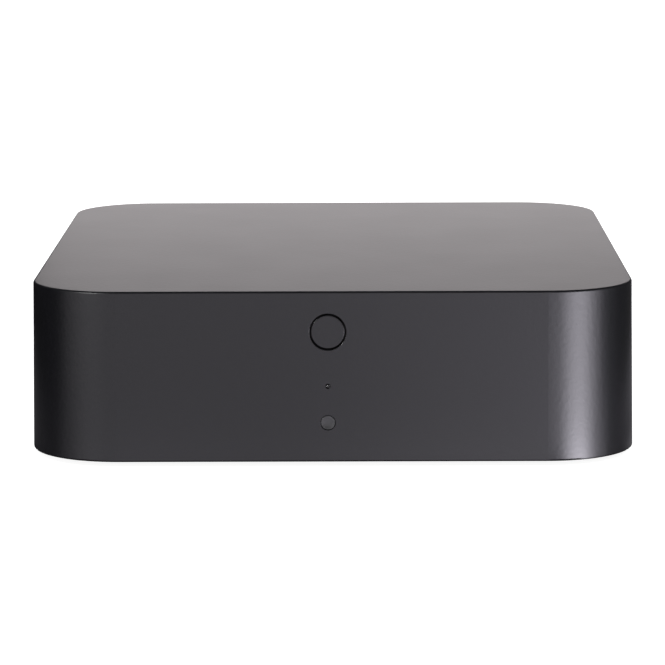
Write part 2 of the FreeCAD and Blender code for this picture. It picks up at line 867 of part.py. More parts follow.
def make_badge_ring():
    """The ring lies on the floor of its groove, a little below the wall's face."""
    ring = new_body("badge_ring")
    outline = face_sketch(ring)
    circle(outline, "badge_width")
    circle(outline, "badge_width - 2 * badge_line")
    pad(ring, outline, "badge_thickness", reverse=True)
    seat(ring, "badge_ring", "detail_x", "badge_floor_y - badge_thickness", "badge_z")


def board_corners(name):
    return [(f"{name}_hole_{side}", f"{name}_hole_{end}_y")
            for side in ("left", "right") for end in ("front", "rear")]


def make_base_plate():
    base = new_body("base_plate")
    outline = plan_sketch(base)
    rounded_rectangle(outline, "2 * (inner_half_width - base_gap)",
                      "2 * (inner_half_depth - base_gap)", "inner_radius - base_gap")
    pad(base, outline, "base_thickness")
    cups = plan_sketch(base)
    posts = plan_sketch(base, "base_thickness")
    for x, y in four_corners("boss_x", "boss_y"):
        circle(cups, "cup_width", x, y)
    for x, y in board_corners("main") + board_corners("power"):
        circle(posts, "standoff_width", x, y)
    pad(base, cups, "boss_seat")
    pad(base, posts, "board_rise")
    counterbores = plan_sketch(base)
    holes = plan_sketch(base, "counterbore_depth")
    for x, y in four_corners("boss_x", "boss_y"):
        circle(counterbores, "screw_head + 2 * base_gap", x, y)
        circle(holes, "screw_hole", x, y)
    pocket(base, counterbores, "counterbore_depth", reverse=True)
    pocket(base, holes, "boss_seat - counterbore_depth", reverse=True)
    pilots = plan_sketch(base, "board_bottom")
    for x, y in board_corners("main") + board_corners("power"):
        circle(pilots, "pilot_width", x, y)
    pocket(base, pilots, "standoff_pilot_depth")
    vents = plan_sketch(base)
    for y in ("vent_front_y", "vent_rear_y"):
        slot(vents, "vent_length", "vent_width", "vent_first_x", y, upright=True)
    first = pocket(base, vents, "base_thickness", reverse=True)
    repeat(base, "X_Axis", "vent_spacing * (vent_count - 1)", "vent_count", [first])
    seat(base, "base_plate")


def make_rubber_feet():
    feet = new_body("rubber_feet")
    outline = plan_sketch(feet)
    circle(outline, "foot_width", "foot_x", "foot_y")
    pad(feet, outline, "foot_height")
    dress(feet, "Chamfer", "foot_chamfer", lambda point: near(point.z, "0"))
    mirror(feet, "YZ_Plane")
    mirror(feet, "XZ_Plane")
    seat(feet, "rubber_feet", z="-foot_height")


def make_rear_panel():
    """The panel fills the shell's window. Its flange sits in a rebate behind the wall."""
    panel = new_body("rear_panel")
    plate = face_sketch(panel, "panel_face")
    rectangle(plate, "panel_width", "panel_height", "0", "panel_height / 2")
    pad(panel, plate, "panel_thickness")
    flange = face_sketch(panel, "flange_rear")
    rectangle(flange, "window_width + 2 * flange_width", "window_height + flange_width - flange_low",
              "0", "(window_height + flange_width + flange_low) / 2")
    pad(panel, flange, "flange_thickness")
    openings = face_sketch(panel, "panel_front")
    rounded_rectangle(openings, "inlet_width + 2 * socket_gap", "inlet_height + 2 * socket_gap",
                      "inlet_round + socket_gap", "inlet_x", "inlet_z")
    rectangle(openings, "ethernet_width + 2 * socket_gap", "ethernet_height + 2 * socket_gap",
              "ethernet_x", "board_top + ethernet_height / 2")
    rectangle(openings, "usb_width + 2 * socket_gap", "usb_height + 2 * socket_gap",
              "usb_x", "board_top + usb_height / 2")
    rectangle(openings, "optical_width + 2 * socket_gap", "optical_height + 2 * socket_gap",
              "optical_x", "board_top + optical_height / 2")
    for x, z in PHONO_PLACES:
        circle(openings, "barrel_width + 2 * barrel_hole_gap", x, z)
    circle(openings, "service_hole", "service_x", "service_z")
    for side in ("-panel_screw_x", "panel_screw_x"):
        circle(openings, "screw_hole", side, "panel_screw_z")
    pocket(panel, openings, "flange_thickness + panel_thickness")
    seat(panel, "rear_panel")


def make_case_screws():
    screws("case_screws", "case_screw_length", four_corners("boss_x", "boss_y"),
           z="counterbore_depth - screw_head_height")
    # Turned half over, so that the shanks point forward from the panel's face.
    corners = [(side, "panel_screw_z") for side in ("-panel_screw_x", "panel_screw_x")]
    screws("rear_panel_screws", "panel_screw_length", corners,
           y="panel_face + screw_head_height", turn=Rotation(Vector(1, 0, 0), 90))


# Front


def make_front_board():
    board = new_body("front_board")
    outline = face_sketch(board, "front_board_rear_y")
    rectangle(outline, "front_board_width", "front_board_height",
              "0", "front_board_bottom + front_board_height / 2")
    for side in ("-front_screw_x", "front_screw_x"):
        circle(outline, "screw_hole", side, "front_screw_z")
    pad(board, outline, "board_thickness")
    seat(board, "front_board")
    corners = [(side, "front_screw_z") for side in ("-front_screw_x", "front_screw_x")]
    screws("front_board_screws", "front_screw_length", corners,
           y="front_board_rear_y + screw_head_height", turn=Rotation(Vector(1, 0, 0), 90))


def make_status_light():
    """A stepped clear pin carries the lamp's light to the front, flush with the wall."""
    reach = "(front_switch_y - led_depth - led_gap - light_face_y)"
    pipe = new_body("status_light_pipe")
    half_profile = plan_sketch(pipe)
    polygon(half_profile, [
        ("0", "0"),
        ("light_width / 2", "0"),
        ("light_width / 2", "light_wall"),
        ("light_collar / 2", "light_wall"),
        ("light_collar / 2", "light_wall + light_collar_thickness"),
        ("light_stem / 2", "light_wall + light_collar_thickness"),
        ("light_stem / 2", reach),
        ("0", reach),
    ])
    revolve(pipe, half_profile)
    seat(pipe, "status_light_pipe", "detail_x", "light_face_y", "light_z")
    lamp = box("led_width", "led_depth", "led_height")
    seat(lamp, "status_led", "detail_x - led_width / 2", "front_switch_y - led_depth",
         "light_z - led_height / 2")


def make_push_button(label, head_width, head_length, y, z, x="0", turn=ALONG_Z):
    """A round cap with a flange that stops it behind its wall, and a stem that meets the plunger."""
    flange_start = "button_stem_length"
    flange_end = f"({flange_start} + button_flange_thickness)"
    face = f"({flange_end} + {head_length})"
    cap = new_body(label)
    half_profile = plan_sketch(cap)
    polygon(half_profile, [
        ("0", "0"),
        ("button_stem / 2", "0"),
        ("button_stem / 2", flange_start),
        ("button_flange / 2", flange_start),
        ("button_flange / 2", flange_end),
        (f"{head_width} / 2", flange_end),
        (f"{head_width} / 2", f"{face} - button_edge"),
        (f"{head_width} / 2 - button_edge", face),
        ("0", face),
    ])
    revolve(cap, half_profile)
    seat(cap, label, x, y, z, turn)


def make_switch(label, y, z, x="0", turn=ALONG_Z):
    """A square push switch and the plunger that slides in its round pocket."""
    housing = new_body(label)
    outline = face_sketch(housing, "switch_depth")
    rectangle(outline, "switch_side", "switch_side")
    pad(housing, outline, "switch_depth")
    well = face_sketch(housing, "switch_depth")
    circle(well, "plunger_width + 2 * plunger_gap")
    pocket(housing, well, "switch_pocket", reverse=True)
    seat(housing, label, x, y, z, turn)
    plunger = new_body(f"{label}_plunger")
    section = face_sketch(plunger, "switch_depth + plunger_reach")
    circle(section, "plunger_width")
    pad(plunger, section, "plunger_reach + plunger_sunk")
    seat(plunger, f"{label}_plunger", x, y, z, turn)


def make_buttons():
    make_push_button("front_button_cap", "button_width",
                     "(button_wall + button_travel_gap - button_recess)",
                     "front_tip_y", "button_z", "detail_x", HALF_TURN)
    make_switch("front_switch", "front_switch_y", "button_z", "detail_x", HALF_TURN)
    make_push_button("service_button_cap", "service_width",
                     "(panel_face - panel_front + button_travel_gap + service_proud)",
                     "service_tip_y", "service_z", "service_x")
    make_switch("service_switch", "service_switch_y", "service_z", "service_x")


def make_flat_cable():
    """A ribbon leaves the front board level and dips to the lower socket in two equal bends."""
    front_socket = box("ribbon_socket_width", "ribbon_socket_depth", "ribbon_socket_height", "ribbon_x",
                       "front_board_rear_y + ribbon_socket_depth / 2",
                       "ribbon_front_z - ribbon_socket_height / 2")
    rear_socket = box("ribbon_socket_width", "ribbon_socket_depth", "ribbon_socket_height", "ribbon_x",
                      "main_front + ribbon_socket_depth / 2", "board_top")
    seat(group(front_socket, rear_socket), "flat_cable_sockets")
    start = Vector(number("ribbon_x"), number("ribbon_front_y"), number("ribbon_front_z"))
    end = Vector(number("ribbon_x"), number("main_front"), number("ribbon_rear_z"))
    third = (end.y - start.y) / 3
    path = routed_path([start, start + Vector(0, third, 0), end - Vector(0, third, 0), end])
    half_width, half_thickness = number("ribbon_width") / 2, number("ribbon_thickness") / 2
    corners = [start + Vector(x, 0, z) for x, z in ((-half_width, -half_thickness),
                                                    (half_width, -half_thickness),
                                                    (half_width, half_thickness),
                                                    (-half_width, half_thickness))]
    ribbon = path.makePipeShell([Part.makePolygon(corners + corners[:1])], True, True)
    wires("front_flat_cable", [ribbon], "0")


# Boards and what stands on them


def make_board(label, name, outline_points):
    board = new_body(label)
    outline = plan_sketch(board)
    polygon(outline, outline_points)
    for x, y in board_corners(name):
        circle(outline, "screw_hole", x, y)
    pad(board, outline, "board_thickness")
    seat(board, label, z="board_bottom")
    # Turned half over, so that the shanks point down and the heads rest on the board.
    corners = [(x, f"-({y})") for x, y in board_corners(name)]
    screws(f"{label}_screws", "board_screw_length", corners,
           z="board_top + screw_head_height", turn=Rotation(Vector(1, 0, 0), 180))


def make_boards():
    make_board("main_board", "main", [
        ("main_left", "main_front"),
        ("main_right", "main_front"),
        ("main_right", "notch_y"),
        ("notch_x", "notch_y"),
        ("notch_x", "board_rear"),
        ("main_left", "board_rear"),
    ])
    make_board("power_board", "power", [
        ("power_left", "power_front"),
        ("power_right", "power_front"),
        ("power_right", "board_rear"),
        ("-notch_x", "board_rear"),
        ("-notch_x", "notch_y"),
        ("power_left", "notch_y"),
    ])


def make_insulation_sheet():
    """A bent sheet lies under the supply board and stands up beside it."""
    sheet = new_body("insulation_sheet")
    floor = plan_sketch(sheet)
    polygon(floor, [
        ("sheet_left", "sheet_front"),
        ("sheet_right", "sheet_front"),
        ("sheet_right", "sheet_rear"),
        ("-notch_x", "sheet_rear"),
        ("-notch_x", "notch_y"),
        ("sheet_left", "notch_y"),
    ])
    for x, y in board_corners("power"):
        circle(floor, "sheet_hole", x, y)
    pad(sheet, floor, "sheet_thickness")
    wall = plan_sketch(sheet)
    rectangle(wall, "sheet_thickness", "sheet_rear - sheet_front",
              "sheet_right - sheet_thickness / 2", "(sheet_rear + sheet_front) / 2")
    pad(sheet, wall, "sheet_height")
    seat(sheet, "insulation_sheet", z="base_thickness")


def make_chips():
    seat_on_board(block_named("processor_chip"), "processor_chip")
    seat_on_board(group(block_named("memory_front"), block_named("memory_rear")), "memory_chips")
    seat_on_board(block_named("converter_chip"), "converter_chip")
    seat_on_board(group(block_named("crystal_left"), block_named("crystal_right")), "clock_crystals")
    seat_on_board(group(block_named("relay_left"), block_named("relay_right")), "muting_relays")
    seat_on_board(block_named("transistor"), "switching_transistor")
    seat_on_board(block_named("transistor_plate"), "transistor_heatsink")
    seat_on_board(group(block_named("power_plug"), block_named("main_plug")), "harness_plugs")


def seat_on_board(item, label):
    """A plain block is centred on its own place, so only its height is added here."""
    whole = group(item) if item.TypeId == "Part::Box" else item
    seat(whole, label, z="board_top")


def make_processor_heatsink():
    sink = new_body("processor_heatsink")
    foot = plan_sketch(sink)
    rectangle(foot, "sink_width", "sink_width")
    pad(sink, foot, "sink_base")
    fin = plan_sketch(sink, "sink_base")
    rectangle(fin, "sink_fin_width", "sink_width", "-(sink_width - sink_fin_width) / 2")
    first = pad(sink, fin, "sink_fin_height")
    repeat(sink, "X_Axis", "sink_width - sink_fin_width", "sink_fin_count", [first])
    seat(sink, "processor_heatsink", "processor_chip_x", "processor_chip_y",
         "board_top + processor_chip_height")


def make_signal_capacitors():
    cans = new_body("signal_capacitors")
    outline = plan_sketch(cans)
    circle(outline, "signal_cap_width")
    circle(outline, "signal_cap_width", "0", "signal_cap_spacing")
    pad(cans, outline, "signal_cap_height")
    repeat(cans, "X_Axis", "2 * signal_cap_spacing", "3")
    seat(cans, "signal_capacitors", "signal_cap_x", "signal_cap_y", "board_top")


def make_wireless():
    module = box("module_width", "module_width", "module_thickness", "module_x", "module_y")
    seat_on_board(module, "wireless_module")
    can_y = "module_y + can_shift_y"
    outer = box("can_width", "can_depth", "can_height", "module_x", can_y)
    inner = box("can_width - 2 * can_sheet", "can_depth - 2 * can_sheet", "can_height - can_sheet",
                "module_x", can_y)
    seat(cut(outer, inner), "wireless_shield", z="board_top + module_thickness")
    for label, side in (("antenna_left", "-1"), ("antenna_right", "1")):
        blade = box("antenna_thickness", "antenna_length", "antenna_height",
                    f"{side} * (inner_half_width - antenna_thickness / 2)", "antenna_y")
        seat(group(blade), label, z="antenna_z - antenna_height / 2")


def make_antenna_leads():
    """Two thin coaxial leads run from the wireless module to the blades on the side walls."""
    width = number("lead_width")
    plug_z = "board_top + module_thickness + lead_width / 2 + insert_gap"
    start_y = "module_y - module_width / 4"
    wall_x = "(inner_half_width - antenna_thickness)"
    left = [
        ("module_x - module_width / 3", start_y, plug_z),
        ("module_x - module_width / 3", "main_front", plug_z),
        ("-half_width * 0.48", "-half_depth * 0.74", "case_height * 0.3"),
        ("-half_width * 0.73", "lead_end_y", "antenna_z"),
        (f"-{wall_x}", "lead_end_y", "antenna_z"),
    ]
    right = [
        ("module_x - module_width / 20", start_y, plug_z),
        ("module_x + module_width / 20", "-half_depth * 0.57", "case_height * 0.35"),
        ("half_width * 0.25", "-half_depth * 0.73", "case_height * 0.42"),
        ("half_width * 0.64", "lead_end_y", "antenna_z"),
        (wall_x, "lead_end_y", "antenna_z"),
    ]
    routes = [[Vector(*map(number, point)) for point in route] for route in (left, right)]
    wires("antenna_leads", [round_wire(route, width) for route in routes], "0")


# Supply


def make_transformer():
    """An E-core frame with a middle leg, and the wound bobbin that surrounds that leg."""
    opening_width = "(core_width / 2 - core_leg - core_middle / 2)"
    opening_x = f"(core_middle / 2 + {opening_width} / 2)"
    opening_height = "(core_height - 2 * core_yoke)"
    frame = box("core_width", "core_depth", "core_height", z="bobbin_foot")
    openings = [box(opening_width, "2 * core_depth", opening_height, f"{side} * {opening_x}",
                    z="bobbin_foot + core_yoke") for side in (-1, 1)]
    seat(cut(frame, *openings), "transformer_core", "transformer_x", "transformer_y", "board_top")
    winding_width = f"(core_middle + 2 * {opening_width} - 2 * winding_gap)"
    winding_low = "(bobbin_foot + core_yoke + winding_gap)"
    winding_height = f"({opening_height} - 2 * winding_gap)"
    winding = box(winding_width, "winding_depth", winding_height, z=winding_low)
    leg_hole = box("core_middle + 2 * winding_gap", "core_depth + 2 * winding_gap", "core_height",
                   z="bobbin_foot")
    foot = box(winding_width, "winding_depth", "bobbin_foot - winding_gap")
    stems = [box(winding_width, "core_leg", winding_low,
                 y=f"{side} * (winding_depth - core_leg) / 2") for side in (-1, 1)]
    bobbin = fuse(cut(winding, leg_hole), foot, *stems)
    seat(bobbin, "transformer_bobbin", "transformer_x", "transformer_y", "board_top")


def make_bulk_capacitor():
    can = new_body("bulk_capacitor")
    half_profile = face_sketch(can)
    polygon(half_profile, [
        ("0", "0"),
        ("bulk_width / 2", "0"),
        ("bulk_width / 2", "3 * bulk_groove"),
        ("bulk_width / 2 - bulk_groove", "4 * bulk_groove"),
        ("bulk_width / 2", "5 * bulk_groove"),
        ("bulk_width / 2", "bulk_height - bulk_groove"),
        ("bulk_width / 2 - bulk_groove", "bulk_height"),
        ("0", "bulk_height"),
    ])
    revolve(can, half_profile)
    seat(can, "bulk_capacitor", "bulk_x", "bulk_y", "board_top")


def make_filter_choke():
    middle = "choke_foot + choke_width / 2"
    ring = rod("choke_width", "choke_thickness", y="-choke_thickness / 2", z=middle, turn=ALONG_Y)
    bore = rod("choke_bore", "2 * choke_thickness", y="-choke_thickness", z=middle, turn=ALONG_Y)
    foot = box("choke_width", "choke_thickness", "2 * choke_foot")
    seat(fuse(cut(ring, bore), foot), "mains_filter_choke", "choke_x", "choke_y", "board_top")


def make_fuse():
    tube = rod("fuse_width", "fuse_length", y="-fuse_length / 2", z="fuse_rise", turn=ALONG_Y)
    seat(group(tube), "fuse_tube", "fuse_x", "fuse_y", "board_top")
    clips = []
    for side in (-1, 1):
        y = f"{side} * (fuse_length - clip_depth) / 2"
        block = box("clip_width", "clip_depth", "clip_height", y=y)
        bed = rod("fuse_width + 2 * clip_gap", "2 * fuse_length", y="-fuse_length", z="fuse_rise",
                  turn=ALONG_Y)
        mouth = box("fuse_width / 2", "2 * clip_depth", "clip_height", y=y, z="fuse_rise")
        clips.append(cut(block, bed, mouth))
    seat(group(*clips), "fuse_clips", "fuse_x", "fuse_y", "board_top")


def make_harness():
    """Four wires leave one plug forward and reach the other from the left, side by side."""
    width, spacing = number("wire_width"), number("wire_spacing")
    start_y = number("power_plug_y - power_plug_depth / 2")
    end_x = number("main_plug_x - main_plug_width / 2")
    z = number("board_top + wire_rise")
    shapes = []
    for index in range(4):
        x = number("power_plug_x") + (index - 1.5) * spacing
        y = number("wire_end_y") + index * spacing
        shapes.append(round_wire([Vector(x, start_y, z), Vector(x, y, z), Vector(end_x, y, z)], width))
    wires("power_harness", shapes, "0")


# Rear sockets, each drawn with its mouth in the plane y = 0 and its depth toward the front


def make_mains_inlet():
    inlet = new_body("mains_inlet")
    outline = face_sketch(inlet)
    rounded_rectangle(outline, "inlet_width", "inlet_height", "inlet_round")
    pad(inlet, outline, "inlet_depth")
    mouth = face_sketch(inlet)
    slot(mouth, "inlet_slot_width", "inlet_slot_height")
    pocket(inlet, mouth, "inlet_slot_depth", reverse=True)
    pin_holes = face_sketch(inlet, "-inlet_slot_depth")
    pins = new_body("mains_inlet_pins")
    section = face_sketch(pins, "pin_length - inlet_slot_depth")
    for side in ("-pin_spacing / 2", "pin_spacing / 2"):
        circle(pin_holes, "pin_width", side)
        circle(section, "pin_width", side)
    pocket(inlet, pin_holes, "pin_root", reverse=True)
    seat(inlet, "mains_inlet", "inlet_x", "inlet_face", "inlet_z")
    pad(pins, section, "pin_length + pin_root")
    seat(pins, "mains_inlet_pins", "inlet_x", "inlet_face", "inlet_z")


def make_ethernet_socket():
    """A folded metal can round a moulded insert with a keyed cavity and a comb of springs."""
    can = new_body("ethernet_shield")
    outline = face_sketch(can)
    rectangle(outline, "ethernet_width", "ethernet_height", "0", "ethernet_height / 2")
    pad(can, outline, "ethernet_depth")
    hollow = face_sketch(can)
    rectangle(hollow, "ethernet_width - 2 * shield_sheet", "2 * (ethernet_height - shield_sheet)")
    pocket(can, hollow, "ethernet_depth - shield_sheet", reverse=True)
    seat(can, "ethernet_shield", "ethernet_x", "metal_face", "board_top")

    insert = new_body("ethernet_insert")
    block = face_sketch(insert, "-shield_sheet")
    fill = "(shield_sheet + insert_gap)"
    rectangle(block, f"ethernet_width - 2 * {fill}", f"ethernet_height - {fill}",
              "0", f"(ethernet_height - {fill}) / 2")
    pad(insert, block, "ethernet_depth - 2 * shield_sheet - insert_gap")
    cavity = face_sketch(insert, "-shield_sheet")
    right_side = [
        ("key_width / 2", "key_floor"),
        ("key_width / 2", "latch_step"),
        ("latch_width / 2", "latch_step"),
        ("latch_width / 2", "plug_shoulder"),
        ("plug_width / 2", "plug_shoulder"),
        ("plug_width / 2", "plug_top"),
    ]
    polygon(cavity, right_side + [(f"-{x}", z) for x, z in reversed(right_side)])
    pocket(insert, cavity, "plug_depth", reverse=True)
    seat(insert, "ethernet_insert", "ethernet_x", "metal_face", "board_top")

    contacts = new_body("ethernet_contacts")
    first_x = "-contact_spacing * (contact_count - 1) / 2 - contact_width / 2"
    spring = side_sketch(contacts, first_x)
    polygon(spring, [
        ("-contact_front", "plug_top"),
        ("-contact_rear", "plug_top - contact_drop"),
        ("-contact_rear", "plug_top - contact_drop + contact_width"),
        ("-contact_front - contact_drop", "plug_top"),
    ])
    pad(contacts, spring, "contact_width")
    repeat(contacts, "X_Axis", "contact_spacing * (contact_count - 1)", "contact_count")
    seat(contacts, "ethernet_contacts", "ethernet_x", "metal_face", "board_top")


def make_usb_socket():
    shell = new_body("usb_shell")
    outline = face_sketch(shell)
    rectangle(outline, "usb_width", "usb_height", "0", "usb_height / 2")
    pad(shell, outline, "usb_depth")
    hollow = face_sketch(shell)
    rectangle(hollow, "usb_width - 2 * usb_sheet", "usb_height - 2 * usb_sheet", "0", "usb_height / 2")
    pocket(shell, hollow, "usb_depth - usb_sheet", reverse=True)
    seat(shell, "usb_shell", "usb_x", "metal_face", "board_top")
    tongue = new_body("usb_tongue")
    root_y = "-(usb_depth - usb_sheet - tongue_root_depth)"
    root = face_sketch(tongue, root_y)
    fill = "2 * (usb_sheet + insert_gap)"
    rectangle(root, f"usb_width - {fill}", f"usb_height - {fill}", "0", "usb_height / 2")
    pad(tongue, root, "tongue_root_depth")
    blade = face_sketch(tongue, root_y)
    rectangle(blade, "tongue_width", "tongue_thickness", "0", "usb_height / 2 + tongue_lift")
    pad(tongue, blade, "tongue_length", reverse=True)
    seat(tongue, "usb_tongue", "usb_x", "metal_face", "board_top")


def make_optical_output():
    """A square socket with a dust flap. The flap's own pins turn in the socket's side walls."""
    housing = new_body("optical_housing")
    outline = face_sketch(housing)
    rectangle(outline, "optical_width", "optical_height", "0", "optical_height / 2")
    pad(housing, outline, "optical_depth")
    cave = face_sketch(housing)
    rectangle(cave, "cave_width", "cave_top - cave_floor", "0", "(cave_top + cave_floor) / 2")
    pocket(housing, cave, "cave_depth", reverse=True)
    bearing = side_sketch(housing, "optical_width / 2")
    circle(bearing, "flap_pin + 2 * flap_pin_gap", "-flap_pin_setback", "flap_pin_z")
    pocket(housing, bearing, "optical_width")
    seat(housing, "optical_housing", "optical_x", "optical_face", "board_top")

    # Drawn about its pin's axis, with its leaf hanging down across the mouth.
    flap = new_body("optical_shutter")
    leaf_width = "(cave_width - 2 * flap_gap)"
    hub = side_sketch(flap, f"-{leaf_width} / 2")
    circle(hub, "flap_thickness")
    pad(flap, hub, leaf_width)
    leaf_length = "(flap_pin_z - cave_floor - flap_gap)"
    leaf = side_sketch(flap, f"-{leaf_width} / 2")
    rectangle(leaf, "flap_thickness", leaf_length, "0", f"-{leaf_length} / 2")
    pad(flap, leaf, leaf_width)
    pin_length = "(cave_width + 2 * flap_pin_overlap)"
    pin = side_sketch(flap, f"-{pin_length} / 2")
    circle(pin, "flap_pin")
    pad(flap, pin, pin_length)
    seat(flap, "optical_shutter", "optical_x", "optical_face - flap_pin_setback", "board_top + flap_pin_z")

    emitter = rod("emitter_width", "emitter_length", turn=ALONG_Y)
    seat(group(emitter), "optical_emitter", "optical_x", "optical_face - cave_depth",
         "board_top + (cave_top + cave_floor) / 2")


PHONO_PLACES = [("coax_x", "phono_low_z"), ("line_x", "phono_low_z"), ("line_x", "phono_high_z")]


def make_phono_sockets():
    blocks = new_body("phono_blocks")
    faces = face_sketch(blocks, "phono_face")
    single_height = "(phono_rise + phono_block_margin)"
    rectangle(faces, "phono_block_width", single_height, "coax_x", f"board_top + {single_height} / 2")
    double_height = "(phono_high_z + phono_block_margin - board_top)"
    rectangle(faces, "phono_block_width", double_height, "line_x", f"board_top + {double_height} / 2")
    pad(blocks, faces, "phono_block_depth")
    seat(blocks, "phono_blocks")

    barrels = new_body("phono_barrels")
    necks = face_sketch(barrels, "phono_face")
    outline = face_sketch(barrels, "barrel_start")
    bores = face_sketch(barrels, "barrel_end")
    insulators = new_body("phono_insulators")
    sleeves = face_sketch(insulators, "phono_face + barrel_floor")
    sockets = face_sketch(insulators, "barrel_end - insulator_recess")
    for x, z in PHONO_PLACES:
        circle(necks, "barrel_neck", x, z)
        circle(outline, "barrel_width", x, z)
        circle(bores, "barrel_bore", x, z)
        circle(sleeves, "barrel_bore - 2 * insulator_gap", x, z)
        circle(sockets, "insulator_bore", x, z)
    pad(barrels, necks, "barrel_start - phono_face", reverse=True)
    pad(barrels, outline, "barrel_end - barrel_start", reverse=True)
    dress(barrels, "Chamfer", "barrel_chamfer", lambda point: near(point.y, "barrel_end"))
    pocket(barrels, bores, "barrel_length - barrel_floor", reverse=True)
    seat(barrels, "phono_barrels")
    sleeve_length = "barrel_length - barrel_floor - insulator_recess"
    pad(insulators, sleeves, sleeve_length, reverse=True)
    pocket(insulators, sockets, f"{sleeve_length} - insulator_floor", reverse=True)
    seat(insulators, "phono_insulators")


def check_document():
    """Every object recomputes, and every node is a sound solid or group of solids."""
    doc.recompute()
    for item in doc.Objects:
        if "Invalid" in item.State or "Error" in item.State:
            raise ValueError(f"{item.Name} did not recompute")
    for node in nodes:
        shape = node.Shape
        if shape.isNull() or not shape.isValid() or not shape.Solids:
            raise ValueError(f"{node.Label} is not a sound solid")


def write_nodes():
    os.makedirs("parts", exist_ok=True)
    for node in nodes:
        node.Shape.exportStep(f"parts/{node.Label}.step")
    print(f"{len(nodes)} nodes")


make_upper_shell()
make_badge_ring()
make_base_plate()
make_rubber_feet()
make_rear_panel()
make_case_screws()
make_front_board()
make_status_light()
make_buttons()
make_flat_cable()
make_boards()
make_insulation_sheet()
make_chips()
make_processor_heatsink()
make_signal_capacitors()
make_wireless()
make_antenna_leads()
make_transformer()
make_bulk_capacitor()
make_filter_choke()
make_fuse()
make_harness()
make_mains_inlet()
make_ethernet_socket()
make_usb_socket()
make_optical_output()
make_phono_sockets()
check_document()
write_nodes()
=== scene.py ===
# %% [markdown]
# # A network audio adapter, dressed for its picture
#
# The object is a low satin-black box, 143 mm wide, that joins a home audio system to a network.
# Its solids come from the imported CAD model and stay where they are. This script gives each of them
# a finish, models the small things that a solid leaves plain, such as the buttons' dished faces,
# and sets up a small studio. Every length is in metres, and `mm` makes the small ones readable.

# %% Load the frame
import math

import bmesh
import bpy
from mathutils import Matrix, Vector


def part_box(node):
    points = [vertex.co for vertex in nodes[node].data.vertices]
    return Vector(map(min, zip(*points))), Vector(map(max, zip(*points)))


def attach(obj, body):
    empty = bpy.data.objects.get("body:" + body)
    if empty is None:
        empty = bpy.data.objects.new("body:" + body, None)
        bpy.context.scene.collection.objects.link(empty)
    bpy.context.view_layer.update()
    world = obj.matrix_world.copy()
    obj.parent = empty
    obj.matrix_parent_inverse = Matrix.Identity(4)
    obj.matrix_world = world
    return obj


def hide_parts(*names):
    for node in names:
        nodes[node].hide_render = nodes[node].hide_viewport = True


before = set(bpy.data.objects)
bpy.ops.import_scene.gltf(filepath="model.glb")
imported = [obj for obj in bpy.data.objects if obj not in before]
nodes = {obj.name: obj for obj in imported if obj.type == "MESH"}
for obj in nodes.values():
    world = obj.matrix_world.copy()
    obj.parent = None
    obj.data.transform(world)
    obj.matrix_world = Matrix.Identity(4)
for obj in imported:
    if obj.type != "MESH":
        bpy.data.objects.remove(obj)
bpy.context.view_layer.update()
mm = 0.001

# %% [markdown]
# ## The camera
#
# The picture was taken from straight ahead and a little above, with a long lens, so that the sides
# of the box run nearly parallel. The place, the tilt and the lens were fitted to the box's own
# corners. They could also be set by eye, but a long lens makes an error of half a degree show.

# %% Camera
camera_data = bpy.data.cameras.new("studio_camera")
camera_data.sensor_width = 36
camera_data.lens = 179.62
camera_data.clip_end = 20
camera = bpy.data.objects.new("studio_camera", camera_data)
bpy.context.scene.collection.objects.link(camera)
# The camera's own axes in the world. It looks along the third.
camera_right = Vector((0.99997, 0.00618, -0.00391))
camera_up = Vector((0.00285, 0.16206, 0.98678))
camera_forward = Vector((-0.00673, 0.98676, -0.16204))
camera.matrix_world = Matrix.Translation((5.33 * mm, -851.80 * mm, 157.38 * mm)) @ Matrix(
    (camera_right, camera_up, -camera_forward)).transposed().to_4x4()
bpy.context.scene.camera = camera
bpy.context.scene.view_settings.view_transform = "Standard"
print("camera at", [round(value, 3) for value in camera.location])

# %% [markdown]
# ## Two small helpers for finishes
#
# Blender's shaders work with linear light, while a colour picked on a screen is an sRGB value, so
# one function turns a hex colour linear. Another adds a node, sets it and links it, which keeps
# each finish below down to the list of what it is made of.


# %% Colour and node helpers
def linear(hex_colour):
    """An sRGB hex colour as the linear values that a shader takes."""
    channels = [int(hex_colour[start:start + 2], 16) / 255 for start in (1, 3, 5)]
    return (*[c / 12.92 if c <= 0.04045 else ((c + 0.055) / 1.055) ** 2.4 for c in channels], 1.0)


def add(tree, kind, inputs=None, **settings):
    """Adds a node. An input is a value, or the output of another node, which is then linked."""
    node = tree.nodes.new(kind)
    for name, value in settings.items():
        setattr(node, name, value)
    for socket, value in (inputs or {}).items():
        if isinstance(value, bpy.types.NodeSocket):
            tree.links.new(value, node.inputs[socket])
        else:
            node.inputs[socket].default_value = value
    return node


def per_metre(size_mm):
    """The texture scale at which one grain of a pattern is about this many millimetres wide."""
    return 1000 / size_mm


def new_finish(name, **shader_inputs):
    """A material with one Principled shader, whose even values are set on its own sockets."""
    material = bpy.data.materials.new(name)
    material.use_nodes = True
    tree = material.node_tree
    tree.nodes.clear()
    shader = add(tree, "ShaderNodeBsdfPrincipled",
                 {socket.replace("_", " "): value for socket, value in shader_inputs.items()})
    add(tree, "ShaderNodeOutputMaterial", {"Surface": shader.outputs["BSDF"]})
    place = add(tree, "ShaderNodeTexCoord").outputs["Object"]
    return material, tree, shader, place


def vary_colour(tree, shader, factor, dark, light):
    """The base colour runs between two tones as the factor goes from 0 to 1."""
    blend = add(tree, "ShaderNodeMix", {"Factor": factor, "A": linear(dark), "B": linear(light)},
                data_type="RGBA")
    tree.links.new(blend.outputs["Result"], shader.inputs["Base Color"])


